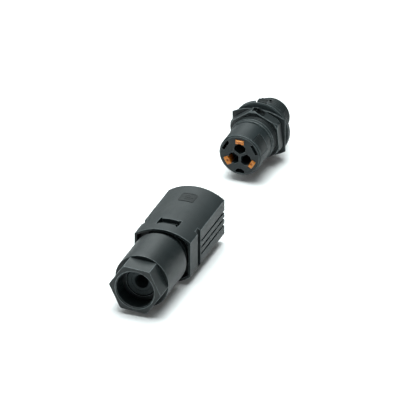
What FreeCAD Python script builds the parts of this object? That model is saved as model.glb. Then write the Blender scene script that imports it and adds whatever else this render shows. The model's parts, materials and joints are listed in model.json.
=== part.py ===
"""Two-part solar cable connector: a cable half with gland and sleeve, and a panel half.

Millimetres. +X runs along both halves from the cable gland to the mating ends, +Y is to the
left and +Z is up. The origin is the middle of the footprint, on the surface that both halves
lie on. Each half is built about its own axis first and then laid down on that surface.
"""
import FreeCAD
import Part
import os
from math import cos, pi, radians, sin, sqrt, tan

V = FreeCAD.Vector
X_AXIS = V(1, 0, 0)

# ---- clearances -------------------------------------------------------------------------
LOOSE_FIT = 0.2          # radial gap between pieces that are simply slid together
THREAD_FIT = 0.15        # radial gap between an inner and an outer thread
PIN_FIT = 0.07           # radial running gap of the latch lever on its pin
FREE = 0.3               # smallest gap kept between pieces that move past each other
FACE_GAP = 0.1           # axial gap between seated faces
SEAL_GAP = 0.05          # gap left at an O-ring that would be squeezed in the real joint

# ---- contacts and conductor chambers (both halves) --------------------------------------
PITCH_R = 4.8            # contacts lie on this radius, 120 degrees apart
POLE_ANGLES = (90, 210, 330)
CHAMBER_W = 7.4          # width of a conductor chamber
CHAMBER_IN = 3.8         # contact's centre to the chamber's 120 degree point
CHAMBER_OUT = 3.0        # contact's centre to the chamber's outer edge
CHAMBER_CORNER = 1.9     # corner cut at the chamber's outer edge
CHAMBER_DEPTH = 13.8
CONTACT_R = 2.4          # round shank of pins and sockets
CONTACT_HOLE_R = CONTACT_R + 0.15
PIN_R = 1.5
BAR_W = 4.0              # flat tail that the conductor is pressed against
BAR_IN = 2.2             # contact's centre to the inner face of the flat tail
BAR_T = 1.0
BAR_START = 8.6          # behind the conductor face
BAR_LAP = 0.6            # the shank reaches this far back over the tail

# ---- release pushers and clamp springs --------------------------------------------------
PUSHER_W = 5.4
PUSHER_T = 2.7
PUSHER_GAP = 0.25        # chamber's outer edge to the pusher
PUSHER_LEN = 7.0
PUSHER_PROUD = 0.6       # stands out of the conductor face at rest
PUSHER_TRAVEL = 1.5
PUSHER_NOTCH_W = 1.6
PUSHER_NOTCH_DEPTH = 0.7
SLOT_GAP = 0.12          # pusher to its slot, all round
SPRING_W = 4.6
SPRING_T = 0.4
SPRING_GAP = 0.3         # pusher fully in, to the spring

# ---- conductor carrier ------------------------------------------------------------------
CARRIER_WALL = 3.03      # outside the pusher slots
CARRIER_CHAMFER = 0.9
FACE_GROOVE = (1.7, 0.4, 0.3)    # start, width and depth of the ring groove behind the face
TOOL_SLOT = (2.0, 7.0, 6.0)      # radial, tangential and axial size
TOOL_SLOT_IN = 2.9       # carrier's outside to the middle of a tool slot
TOOL_SLOT_ANGLES = (30, 150)
KEY_SLOT = (3.0, 6.0, 8.0)       # radial, tangential and axial size
KEY_SLOT_WALL = 1.7              # left outside the key slot
CABLE_CARRIER_LEN = 15.0

# ---- gland body and sleeve --------------------------------------------------------------
SKIRT_WALL = 1.3
SKIRT_STEP = 0.55        # the threaded neck is at least this much smaller than the skirt
NECK_WALL = 2.1          # outside the cage's seat
SLEEVE_SIDE_WALL = 3.05
SLEEVE_TOP_WALL = 2.4
SLEEVE_DOME_RISE = 6.2   # crease to the top of the dome
SLEEVE_LAND_W = 12.0     # flat land along the underside
SLEEVE_LEN = 60.3
SLEEVE_RIM = 1.8         # wall round the front recess
SLEEVE_RECESS = 4.7
SOCKET_DEPTH = 18.4      # mating end to the shoulder
WINDOW = (6.0, 14.0)     # axial and crosswise size of the top window
WINDOW_START = 8.7       # behind the sleeve's front edge
WINDOW_SLIT_W = 1.2      # slit at each end of the window
WINDOW_SLIT_REACH = 1.0  # the slits run this far past the window
GROOVE = (12.9, 17.8, 2.0)       # start, end and depth of the upright groove in each side
GROOVE_RISE = 2.0        # the groove runs this far up into the dome
RIB_SLOTS_Z = (3.7, -0.9, -5.3)
RIB_SLOT_W = 1.3
RIB_SLOT_DEPTH = 1.6
RIB_START = 19.2
SKIRT_SETBACK = 1.7      # sleeve front edge to the skirt
SKIRT_LEN = 16.0
ORING_START = 5.4        # body O-ring groove, behind the sleeve's front edge
ORING_W = 2.3
ORING_DEPTH = 1.8
TAB_W = 9.2
TAB_T = 1.0
TAB_HEAD_H = 2.5

# ---- gland ------------------------------------------------------------------------------
NUT_WALL = 2.72          # outside the nut's thread
NUT_CORNER_STEP = 0.4    # the round barrel stands this far outside the hexagon's corners
NUT_TURN = -4.0          # the hexagon's tilt at rest, degrees
NUT_HEX_LEN = 12.5
NUT_LEN = 43.6
NUT_MOUTH_STEP = 2.25    # width of the inner shoulder seen in the mouth
NUT_MOUTH_DEPTH = 11.6
NUT_SHOULDER = 3.9
NUT_CHAMFER = 0.8
NUT_EDGE = 0.5           # chamfer round the hexagon's front edge
GLAND_PITCH = 2.0
GLAND_TURNS_IN = 1.5
GLAND_STOP_GAP = 1.7     # left between nut and sleeve when the nut is tight
THRUST_T = 1.5
CAGE_WALL = 3.0
CAGE_FINGER_LEN = 9.0
CAGE_RING_LEN = 3.0
CAGE_FINGERS = 8
CAGE_SLOT_W = 1.6
BODY_LIP = 3.3           # the cage stands this far out of the body
SEAL_R = 9.35
SEAL_FACE = 11.8         # behind the nut's front face
SEAL_SPLIT_R = 6.7       # the inner seal is pulled out for thicker cables
SEAL_HOLE_R = 4.5

# ---- panel half -------------------------------------------------------------------------
STUB_STEP = 1.3          # the carrier's stub inside the housing is this much smaller
PANEL_CARRIER_LEN = 19.2
STUB_LEN = 6.8
THREAD_WALL = 1.85
THREAD_FRONT = 7.1       # thread left in front of the lock nut
LOCKNUT_WALL = 1.25      # at the flats
LOCKNUT_TURN = -5.0
LOCKNUT_LEN = 7.0
LOCKNUT_CORNER_CUT = 1.4
POCKET = (4.8, 7.8, 1.6)         # axial, crosswise and radial size
POCKET_ANGLES = (90, 210, 330)
PLATE_GAP = 0.5
PLATE_T = 1.2
PLATE_RIM_TOP = 1.05     # plate outside its hole, at the top
PLATE_RIM_SIDE = 2.95    # and at the sides
PLATE_DOME_RISE = 4.7
KEY_FLAT = 0.9           # flat along the underside of the thread, for the plate
PANEL_GAP = 1.3          # room for the panel sheet as drawn
GASKET_T = 0.5
GASKET_INSET = 0.6
FLANGE_RIM = 4.3         # flange outside the thread
FLANGE_T = 3.2
PARTITION_T = 3.2
PLUG_WALL = 1.8
PLUG_LEN = 19.0
PLUG_BOSS_GAP = 0.3      # plug shell to the socket boss inside it
PLUG_SEAL_SPACE = 0.65   # plug to the sleeve's socket
PIN_RECESS = 4.5         # pin tips behind the plug's rim
BOSS_WALL = 2.15         # socket boss outside the contact holes
BOSS_RECESS = 4.5        # boss face behind the sleeve's end
BOSS_FACE_T = 1.0        # boss in front of the sockets
PLUG_ORING_START = 8.0   # behind the flange
SHOULDER_LEN = 4.1       # stop ring that the sleeve's end meets
SHOULDER_RISE = 1.8
SNAP_ARC = (5.0, 52.0)   # snap tabs of the panel carrier, degrees up from the side
SNAP_SPAN = (2.3, 12.4)  # behind the conductor face
SNAP_T = 1.15
SNAP_ANGLE = 3.0
SNAP_SLIT = 0.3

# ---- latch ------------------------------------------------------------------------------
LATCH_W = 7.0
LATCH_PIN_R = 0.6
LATCH_HUB_R = 1.1
LATCH_BACK_WALL = 0.5    # flange left in front of the latch slot
LATCH_PIN_LEN = 15.0
LATCH_PIN_RISE = 1.8     # pin above the underside of the hook arm
LATCH_ARM_RISE = 2.0     # underside of the hook arm above the plug
LATCH_ARM_T = 1.5
LATCH_TOOTH = 1.1
LATCH_TOOTH_LEN = 2.0
LATCH_PAD_RISE = 2.8     # top of the finger pad above the pin
LATCH_PAD_LEN = 3.7

# ---- layout -----------------------------------------------------------------------------
HALF_GAP = 76.5          # sleeve's end to the panel half's conductor face
FLOOR_GAP = 0.25         # turning nut to the surface

# ---- derived radii, from the contacts outwards ------------------------------------------
CHAMBER_TIP_R = PITCH_R - CHAMBER_IN
CHAMBER_TOP_R = PITCH_R + CHAMBER_OUT
BAR_R = PITCH_R - BAR_IN
PUSHER_R = CHAMBER_TOP_R + PUSHER_GAP
PUSHER_TOP_R = PUSHER_R + PUSHER_T
CARRIER_R = PUSHER_TOP_R + SLOT_GAP + CARRIER_WALL
TOOL_SLOT_R = CARRIER_R - TOOL_SLOT_IN
CAVITY_R = CARRIER_R + LOOSE_FIT
CAGE_BORE_R = SEAL_R + LOOSE_FIT
CAGE_R = CAGE_BORE_R + CAGE_WALL
NECK_R = CAGE_R + LOOSE_FIT + NECK_WALL
SKIRT_R = max(CAVITY_R + SKIRT_WALL, NECK_R + SKIRT_STEP)
SLEEVE_BORE_R = SKIRT_R + LOOSE_FIT
SLEEVE_HALF_W = SLEEVE_BORE_R + SLEEVE_SIDE_WALL
SLEEVE_HALF_H = SLEEVE_BORE_R + SLEEVE_TOP_WALL
SLEEVE_CREASE_Z = SLEEVE_HALF_H - SLEEVE_DOME_RISE
NUT_THREAD_R = NECK_R + THREAD_FIT
NUT_BARREL_R = NUT_THREAD_R + NUT_WALL
NUT_AF = (NUT_BARREL_R - NUT_CORNER_STEP) * sqrt(3)
NUT_CAVITY_R = NUT_THREAD_R - 1.4
SHOULDER_HOLE_R = SEAL_R + 2 * FREE
NUT_MOUTH_R = SHOULDER_HOLE_R + NUT_MOUTH_STEP
STUB_R = CARRIER_R - STUB_STEP
HOUSING_BORE_R = STUB_R + 0.15
THREAD_R = HOUSING_BORE_R + THREAD_WALL
LOCKNUT_BORE_R = THREAD_R + THREAD_FIT
LOCKNUT_AF = 2 * (LOCKNUT_BORE_R + LOCKNUT_WALL)
FLANGE_R = THREAD_R + FLANGE_RIM
BOSS_R = PITCH_R + CONTACT_HOLE_R + BOSS_WALL
PLUG_BORE_R = BOSS_R + PLUG_BOSS_GAP
PLUG_R = PLUG_BORE_R + PLUG_WALL
SOCKET_R = PLUG_R + PLUG_SEAL_SPACE
LATCH_ARM_Z = PLUG_R + LATCH_ARM_RISE
LATCH_PIN_Z = LATCH_ARM_Z + LATCH_PIN_RISE
LATCH_TOP_Z = LATCH_PIN_Z + LATCH_PAD_RISE

# ---- derived stations of the cable half, from the nut's front face ----------------------
GLAND_TRAVEL_IN = GLAND_PITCH * GLAND_TURNS_IN
SHOULDER_END = NUT_MOUTH_DEPTH + NUT_SHOULDER
THRUST_START = SHOULDER_END + FACE_GAP
THRUST_END = THRUST_START + THRUST_T
CAGE_START = THRUST_END + GLAND_TRAVEL_IN + FREE
BODY_START = CAGE_START + BODY_LIP
NUT_THREAD_START = BODY_START - GLAND_TRAVEL_IN - 1.0
CAGE_RING_START = CAGE_START + CAGE_FINGER_LEN
CAGE_END = CAGE_RING_START + CAGE_RING_LEN
SEAL_END = CAGE_END - 0.6
SLEEVE_START = NUT_LEN + GLAND_TRAVEL_IN + GLAND_STOP_GAP
SLEEVE_END = SLEEVE_START + SLEEVE_LEN
SKIRT_START = SLEEVE_START + SKIRT_SETBACK
SKIRT_END = SKIRT_START + SKIRT_LEN
CABLE_FACE = SKIRT_END + 0.5
CABLE_CARRIER_END = CABLE_FACE + CABLE_CARRIER_LEN
SOCKET_FLOOR = SLEEVE_END - SOCKET_DEPTH
BOSS_END = SLEEVE_END - BOSS_RECESS

# ---- derived stations of the panel half, from its conductor face ------------------------
THREAD_START = PANEL_CARRIER_LEN + FREE
STUB_END = PANEL_CARRIER_LEN + STUB_LEN
LOCKNUT_START = THREAD_START + THREAD_FRONT
LOCKNUT_END = LOCKNUT_START + LOCKNUT_LEN
PLATE_START = LOCKNUT_END + PLATE_GAP
PLATE_END = PLATE_START + PLATE_T
GASKET_START = PLATE_END + PANEL_GAP
FLANGE_START = GASKET_START + GASKET_T
FLANGE_END = FLANGE_START + FLANGE_T
PARTITION_END = FLANGE_START + 0.3
PARTITION_START = PARTITION_END - PARTITION_T
PLUG_END = FLANGE_END + PLUG_LEN
STOP_END = FLANGE_END + SHOULDER_LEN

# ---- layout of the two halves -----------------------------------------------------------
TOTAL_LEN = SLEEVE_END + HALF_GAP + PLUG_END
CABLE_X = -TOTAL_LEN / 2
PANEL_X = TOTAL_LEN / 2 - PLUG_END
LOCKNUT_CORNER_R = LOCKNUT_AF / sqrt(3) - LOCKNUT_CORNER_CUT * 0.35
CABLE_Z = max(SLEEVE_HALF_H, NUT_BARREL_R + FLOOR_GAP)
PANEL_Z = max(FLANGE_R, LOCKNUT_CORNER_R + FLOOR_GAP)


# ---- shape helpers ----------------------------------------------------------------------
def rod(x0, x1, r):
    """A solid cylinder on the axis from x0 to x1."""
    return Part.makeCylinder(r, x1 - x0, V(x0, 0, 0), X_AXIS)


def tube(x0, x1, r_out, r_in):
    """A ring on the axis from x0 to x1."""
    return rod(x0, x1, r_out).cut(rod(x0, x1, r_in))


def cone(x0, x1, r0, r1):
    """A truncated cone on the axis, radius r0 at x0 and r1 at x1."""
    return Part.makeCone(r0, r1, x1 - x0, V(x0, 0, 0), X_AXIS)


def block(x0, x1, y0, y1, z0, z1):
    """A box between two corners."""
    return Part.makeBox(x1 - x0, y1 - y0, z1 - z0, V(x0, y0, z0))


def prism(points_yz, x0, x1):
    """A straight prism along X with a polygon section given as (y, z) points."""
    corners = [V(x0, y, z) for y, z in points_yz]
    face = Part.Face(Part.makePolygon(corners + corners[:1]))
    return face.extrude(V(x1 - x0, 0, 0))


def side_prism(points_xz, half_width):
    """A straight prism along Y, centred on the axis, with a section given as (x, z) points."""
    corners = [V(x, -half_width, z) for x, z in points_xz]
    face = Part.Face(Part.makePolygon(corners + corners[:1]))
    return face.extrude(V(0, 2 * half_width, 0))


def hexagon(x0, x1, across_flats, turn):
    """A hexagonal prism; with no turn two of its flats are level."""
    r = across_flats / sqrt(3)
    angles = [radians(60 * k - turn) for k in range(6)]
    return prism([(r * cos(a), r * sin(a)) for a in angles], x0, x1)


def turned(shape, degrees):
    """The shape turned about the axis, anticlockwise as seen from the conductor side."""
    copy = shape.copy()
    copy.rotate(V(0, 0, 0), X_AXIS, -degrees)
    return copy


def at_pole(shape, angle):
    """A shape drawn for the top pole, turned to the pole at the given angle."""
    return turned(shape, angle - 90)


def domed_outline(half_w, crease_z, top_z, land_half_w):
    """Closed outline with flat sides, a domed top and a dome with a flat land underneath."""
    left_top, right_top = V(0, half_w, crease_z), V(0, -half_w, crease_z)
    left_low, right_low = V(0, half_w, -crease_z), V(0, -half_w, -crease_z)
    land_left, land_right = V(0, land_half_w, -top_z), V(0, -land_half_w, -top_z)
    rise = top_z - crease_z
    shoulder_y = (half_w + land_half_w) / 2
    shoulder_z = -(crease_z + rise * 0.67)
    edges = [
        Part.Arc(left_top, V(0, 0, top_z), right_top).toShape(),
        Part.LineSegment(right_top, right_low).toShape(),
        Part.Arc(right_low, V(0, -shoulder_y, shoulder_z), land_right).toShape(),
        Part.LineSegment(land_right, land_left).toShape(),
        Part.Arc(land_left, V(0, shoulder_y, shoulder_z), left_low).toShape(),
        Part.LineSegment(left_low, left_top).toShape(),
    ]
    return Part.Wire(edges)


def domed_bar(x0, x1, half_w, crease_z, top_z, land_half_w):
    """A straight bar along X with the domed outline."""
    face = Part.Face(domed_outline(half_w, crease_z, top_z, land_half_w))
    face.translate(V(x0, 0, 0))
    return face.extrude(V(x1 - x0, 0, 0))


def ring_seal(x_mid, r_out, section_r):
    """An O-ring on the axis whose outside has radius r_out."""
    return Part.makeTorus(r_out - section_r, section_r, V(x_mid, 0, 0), X_AXIS)


def sector(x0, x1, r_out, r_in, from_deg, to_deg):
    """A curved plate: part of a ring between two angles up from the right side."""
    reach = 2 * r_out
    steps = 6
    angles = [radians(from_deg + (to_deg - from_deg) * k / steps) for k in range(steps + 1)]
    wedge = [(0, 0)] + [(-reach * cos(a), reach * sin(a)) for a in angles]
    return tube(x0, x1, r_out, r_in).common(prism(wedge, x0, x1))


def fuse_all(shapes):
    """One solid from shapes that overlap or touch."""
    result = shapes[0]
    for shape in shapes[1:]:
        result = result.fuse(shape)
    return result.removeSplitter()


def cut_all(shape, tools):
    """The shape less every tool."""
    for tool in tools:
        shape = shape.cut(tool)
    return shape


# ---- conductor carrier, contacts, pushers and springs -----------------------------------
def chamber_tool(face):
    """The space of the top conductor chamber: a 120 degree point towards the axis."""
    half = CHAMBER_W / 2
    side_z = CHAMBER_TIP_R + half / tan(radians(60))
    top_z = CHAMBER_TOP_R - CHAMBER_CORNER
    outline = [(0, CHAMBER_TIP_R), (half, side_z), (half, top_z), (half - CHAMBER_CORNER, CHAMBER_TOP_R),
               (CHAMBER_CORNER - half, CHAMBER_TOP_R), (-half, top_z), (-half, side_z)]
    return prism(outline, face - 1, face + CHAMBER_DEPTH)


def pusher_slot_tool(face):
    """The slot that the top pusher slides in, and the spring's pocket behind it."""
    half = PUSHER_W / 2 + SLOT_GAP
    stop = face - PUSHER_PROUD + PUSHER_LEN + PUSHER_TRAVEL + SLOT_GAP
    slot = block(face - 1, stop, -half, half, CHAMBER_TOP_R - 0.2, PUSHER_TOP_R + SLOT_GAP)
    spring_half = SPRING_W / 2 + LOOSE_FIT
    pocket = block(stop - 0.1, face + CHAMBER_DEPTH, -spring_half, spring_half,
                   CHAMBER_TOP_R - CHAMBER_CORNER, PUSHER_TOP_R)
    return slot.fuse(pocket)


def tool_slot(face):
    """A release slot for a screwdriver, drawn at the top."""
    radial, wide, deep = TOOL_SLOT
    low_z = TOOL_SLOT_R - radial / 2
    return block(face - 1, face + deep, -wide / 2, wide / 2, low_z, low_z + radial)


def key_slot(face, carrier_r):
    """The D-shaped keying slot at the bottom: flat below, round above."""
    radial, wide, deep = KEY_SLOT
    low_z = -(carrier_r - KEY_SLOT_WALL)
    bar = block(face - 1, face + deep, -wide / 2, wide / 2, low_z, low_z + radial)
    round_r = wide * 0.62
    crown = Part.makeCylinder(round_r, deep + 1, V(face - 1, 0, low_z + radial - round_r), X_AXIS)
    return bar.common(crown)


def conductor_carrier(face, length):
    """The insulating carrier with three chambers; its conductor face is at x = face."""
    body = rod(face + CARRIER_CHAMFER, face + length, CARRIER_R)
    body = body.fuse(cone(face, face + CARRIER_CHAMFER, CARRIER_R - CARRIER_CHAMFER, CARRIER_R))
    end = face + length
    groove_start, groove_w, groove_depth = FACE_GROOVE
    tools = [at_pole(tool_slot(face), a) for a in TOOL_SLOT_ANGLES]
    groove_end = face + groove_start + groove_w
    tools.append(tube(face + groove_start, groove_end, CARRIER_R + 1, CARRIER_R - groove_depth))
    tools.append(key_slot(face, CARRIER_R))
    for angle in POLE_ANGLES:
        hole_start = face + CHAMBER_DEPTH - 0.1
        hole = Part.makeCylinder(CONTACT_HOLE_R, end - face, V(hole_start, 0, PITCH_R), X_AXIS)
        tools += [at_pole(t, angle) for t in (chamber_tool(face), pusher_slot_tool(face), hole)]
    return cut_all(body, tools)


def contact_tail(face):
    """The flat bar in the top chamber that the conductor is clamped against."""
    half = BAR_W / 2
    return block(face + BAR_START, face + CHAMBER_DEPTH - FACE_GAP, -half, half, BAR_R, BAR_R + BAR_T)


def shank(x0, x1, r):
    """A round length of the top contact."""
    return Part.makeCylinder(r, x1 - x0, V(x0, 0, PITCH_R), X_AXIS)


def pusher(face):
    """The top release pusher, with a notch for a screwdriver in its end."""
    half = PUSHER_W / 2
    front = face - PUSHER_PROUD
    body = block(front, front + PUSHER_LEN, -half, half, PUSHER_R, PUSHER_TOP_R)
    notch_half = PUSHER_NOTCH_W / 2
    notch = block(front - 1, front + PUSHER_NOTCH_DEPTH, -notch_half, notch_half,
                  PUSHER_R - 1, PUSHER_R + PUSHER_T * 0.6)
    return body.cut(notch)


def clamp_spring(face):
    """The top clamp spring: a bent leaf whose slanted leg presses on the conductor."""
    start = face - PUSHER_PROUD + PUSHER_LEN + PUSHER_TRAVEL + SPRING_GAP
    end = face + CHAMBER_DEPTH - FREE
    top = PUSHER_TOP_R - FREE
    low = BAR_R + BAR_T + 1.9
    outline = [(start, top), (end, top), (end, top - 1.6), (start + 1.2, low), (start + 0.6, low + 0.2),
               (end - SPRING_T, top - 1.6 - 0.1), (end - SPRING_T, top - SPRING_T), (start, top - SPRING_T)]
    return side_prism(outline, SPRING_W / 2)


# ---- cable half -------------------------------------------------------------------------
def gland_nut():
    """Gland nut: wrench hexagon cut into a round barrel, open mouth, inner shoulder, thread."""
    barrel = rod(NUT_HEX_LEN, NUT_LEN, NUT_BARREL_R)
    corner_r = NUT_AF / sqrt(3)
    hex_part = hexagon(0, NUT_HEX_LEN, NUT_AF, NUT_TURN)
    edge = cone(0, 2 * NUT_EDGE, corner_r - NUT_EDGE, corner_r + NUT_EDGE)
    hex_part = hex_part.common(edge.fuse(rod(2 * NUT_EDGE, NUT_HEX_LEN, corner_r + 1)))
    tools = [
        rod(-1, NUT_MOUTH_DEPTH, NUT_MOUTH_R),
        cone(-0.01, NUT_CHAMFER, NUT_MOUTH_R + NUT_CHAMFER, NUT_MOUTH_R),
        rod(0, SHOULDER_END + 1, SHOULDER_HOLE_R),
        rod(SHOULDER_END, NUT_THREAD_START + 1, NUT_CAVITY_R),
        rod(NUT_THREAD_START, NUT_LEN + 1, NUT_THREAD_R),
    ]
    return cut_all(hex_part.fuse(barrel), tools).removeSplitter()


def gland_thrust_ring():
    """Slip ring between the turning nut and the clamping cage."""
    return tube(THRUST_START, THRUST_END, NUT_CAVITY_R - FREE, SHOULDER_HOLE_R)


def gland_cage():
    """Clamping cage: a ring with fingers round the seal."""
    cage = tube(CAGE_START, CAGE_END, CAGE_R, CAGE_BORE_R)
    half = CAGE_SLOT_W / 2
    slot = block(CAGE_START - 1, CAGE_RING_START, -half, half, 0, CAGE_R + 1)
    return cut_all(cage, [turned(slot, 360 / CAGE_FINGERS * (k + 0.5)) for k in range(CAGE_FINGERS)])


def gland_seal_outer():
    """Outer sealing grommet."""
    return tube(SEAL_FACE, SEAL_END, SEAL_R, SEAL_SPLIT_R)


def gland_seal_inner():
    """Inner sealing grommet for thin cables."""
    return tube(SEAL_FACE + 0.4, SEAL_END, SEAL_SPLIT_R - SEAL_GAP, SEAL_HOLE_R)


def gland_body():
    """Threaded neck and skirt that carry the gland and close the sleeve's front."""
    groove_start = SLEEVE_START + ORING_START
    slot_start = SLEEVE_START + WINDOW_START
    body = rod(BODY_START, SKIRT_START, NECK_R).fuse(rod(SKIRT_START, SKIRT_END, SKIRT_R))
    tab_half = TAB_W / 2 + FREE
    tools = [
        rod(BODY_START - 1, CAGE_END, CAGE_R + LOOSE_FIT),
        rod(CAGE_END - 1, SKIRT_END, SEAL_R),
        rod(CAGE_END + 3, slot_start + 1, CAVITY_R - ORING_DEPTH + 0.1),
        rod(slot_start + FREE, SKIRT_END + 1, CAVITY_R),
        tube(groove_start, groove_start + ORING_W, SKIRT_R + 1, SKIRT_R - ORING_DEPTH),
        block(slot_start, SKIRT_END + 1, -tab_half, tab_half, CAVITY_R * 0.7, SKIRT_R + 1),
    ]
    return cut_all(body, tools)


def body_oring():
    """O-ring between the gland body and the sleeve."""
    groove_start = SLEEVE_START + ORING_START
    section_r = (SLEEVE_BORE_R - SKIRT_R + ORING_DEPTH) / 2 - SEAL_GAP
    return ring_seal(groove_start + ORING_W / 2, SLEEVE_BORE_R - SEAL_GAP, section_r)


def tab_top():
    """Height of the snap tab's arm: its corners stay inside the skirt's outside."""
    return sqrt(SKIRT_R ** 2 - (TAB_W / 2) ** 2) - 0.2


def tab_pivot():
    """Where the body's snap tab bends: station along the axis and height above it."""
    return SKIRT_END - 0.7, tab_top() - TAB_T / 2


def body_snap_tab():
    """Snap tab of the gland body whose sloped head sits in the sleeve's top window."""
    front = SLEEVE_START + WINDOW_START + 0.6
    head_end = SLEEVE_START + WINDOW_START + WINDOW[0] - 0.6
    end = SKIRT_END - 0.2
    low, high = tab_top() - TAB_T, tab_top()
    outline = [(front, low), (end, low), (end, high), (head_end + 0.4, high),
               (head_end, high + TAB_HEAD_H * 0.4), (front, high + TAB_HEAD_H)]
    return side_prism(outline, TAB_W / 2)


def latch_depths():
    """Tooth start and end of the mated latch, as depths behind the sleeve's end."""
    arm_end = latch_arm_end()
    return arm_end - LATCH_TOOTH_LEN - STOP_END, arm_end - STOP_END


def sleeve():
    """Locking sleeve: domed bar with ribbed sides, top window and the mating socket."""
    land = SLEEVE_LAND_W / 2
    start, end = SLEEVE_START, SLEEVE_END
    body = domed_bar(start, end, SLEEVE_HALF_W, SLEEVE_CREASE_Z, SLEEVE_HALF_H, land)
    recess = domed_bar(start - 1, start + SLEEVE_RECESS, SLEEVE_HALF_W - SLEEVE_RIM,
                       SLEEVE_CREASE_Z - SLEEVE_RIM * 0.4, SLEEVE_HALF_H - SLEEVE_RIM, land)
    window_start = start + WINDOW_START
    across = WINDOW[1] / 2
    tooth_start, tooth_end = latch_depths()
    channel_half = LATCH_W / 2 + FREE
    channel_top = LATCH_ARM_Z + LATCH_ARM_T + FREE
    pocket_top = channel_top + LATCH_TOOTH
    tools = [
        recess,
        rod(start, SKIRT_END + FREE, SLEEVE_BORE_R),
        rod(SKIRT_END, SOCKET_FLOOR, CAVITY_R),
        rod(SOCKET_FLOOR - 1, end + 1, SOCKET_R),
        block(window_start, window_start + WINDOW[0], -across, across, CAVITY_R * 0.7, SLEEVE_HALF_H + 1),
        block(end - tooth_end - 1.2, end + 1, -channel_half, channel_half, 0, channel_top),
        block(end - tooth_end - FREE, end - tooth_start + FREE, -channel_half, channel_half, 0, pocket_top),
    ]
    for side in (-1, 1):
        outer, floor = side * (SLEEVE_HALF_W + 1), side * (SLEEVE_HALF_W - GROOVE[2])
        y0, y1 = min(outer, floor), max(outer, floor)
        tools.append(block(start + GROOVE[0], start + GROOVE[1], y0, y1,
                           -SLEEVE_CREASE_Z, SLEEVE_CREASE_Z + GROOVE_RISE))
        slit_end = window_start + WINDOW[0] + WINDOW_SLIT_REACH
        slit_y = side * (across - WINDOW_SLIT_W / 2)
        slit_half = WINDOW_SLIT_W / 2
        tools.append(block(window_start - WINDOW_SLIT_REACH, slit_end, slit_y - slit_half, slit_y + slit_half,
                           CAVITY_R * 0.7, SLEEVE_HALF_H + 1))
        floor = side * (SLEEVE_HALF_W - RIB_SLOT_DEPTH)
        y0, y1 = min(outer, floor), max(outer, floor)
        for z in RIB_SLOTS_Z:
            half = RIB_SLOT_W / 2
            tools.append(block(start + RIB_START, end + 1, y0, y1, z - half, z + half))
    return cut_all(body, tools)


def cable_carrier():
    """Conductor carrier of the cable half, inside the sleeve."""
    return conductor_carrier(CABLE_FACE, CABLE_CARRIER_LEN)


def socket_carrier():
    """Insulating disc that seats against the sleeve's inner shoulder and holds the sockets."""
    base_start = CABLE_CARRIER_END + FACE_GAP
    base_end = SOCKET_FLOOR - FACE_GAP
    hole = shank(base_start - 1, base_end + 1, CONTACT_HOLE_R)
    return cut_all(rod(base_start, base_end, CARRIER_R), [at_pole(hole, a) for a in POLE_ANGLES])


def socket_boss():
    """Round boss round the sockets, which enters the mating plug."""
    bore_end = BOSS_END - BOSS_FACE_T
    hole = shank(SOCKET_FLOOR - 1, bore_end, CONTACT_HOLE_R)
    entry = shank(bore_end - 1, BOSS_END + 1, PIN_R + FREE)
    holes = [at_pole(t, a) for a in POLE_ANGLES for t in (hole, entry)]
    return cut_all(rod(SOCKET_FLOOR, BOSS_END, BOSS_R), holes)


def socket_contact():
    """Top socket contact: flat tail, round shank and a bore for the mating pin."""
    start = CABLE_FACE + CHAMBER_DEPTH - BAR_LAP
    end = BOSS_END - BOSS_FACE_T - FACE_GAP
    body = fuse_all([contact_tail(CABLE_FACE), shank(start, end, CONTACT_R)])
    return body.cut(shank(end - 10.0, end + 1, PIN_R + 0.08))


# ---- panel half -------------------------------------------------------------------------
def snap_pocket_depth():
    """Radial room that a snap tab needs when it is pressed in."""
    return SNAP_T + (SNAP_SPAN[1] - SNAP_SPAN[0]) * sin(radians(SNAP_ANGLE)) + FREE


def panel_carrier():
    """Conductor carrier of the panel half, with a stub in the housing and two snap tabs cut."""
    body = conductor_carrier(0, PANEL_CARRIER_LEN)
    stub = rod(PANEL_CARRIER_LEN, STUB_END, STUB_R)
    holes = [at_pole(shank(PANEL_CARRIER_LEN - 1, STUB_END + 1, CONTACT_HOLE_R), a) for a in POLE_ANGLES]
    body = body.fuse(cut_all(stub, holes))
    floor_r = CARRIER_R - snap_pocket_depth()
    slit_deg = SNAP_SLIT / CARRIER_R * 180 / pi
    low, high = SNAP_ARC[0] - slit_deg, SNAP_ARC[1] + slit_deg
    pocket = sector(SNAP_SPAN[0] - 0.1, SNAP_SPAN[1] + SNAP_SLIT, CARRIER_R + 1, floor_r, low, high)
    return cut_all(body, [pocket, mirrored(pocket)]).removeSplitter()


def mirrored(shape):
    """The shape on the other side of the upright middle plane."""
    return shape.mirror(V(0, 0, 0), V(0, 1, 0))


def carrier_snap_tab():
    """Right-hand snap tab of the panel carrier, drawn at rest."""
    return sector(SNAP_SPAN[0] + 0.1, SNAP_SPAN[1], CARRIER_R - 0.05, CARRIER_R - SNAP_T, *SNAP_ARC)


def latch_arm_end():
    """Station of the end of the latch's hook arm."""
    return STOP_END + 6.0


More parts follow.
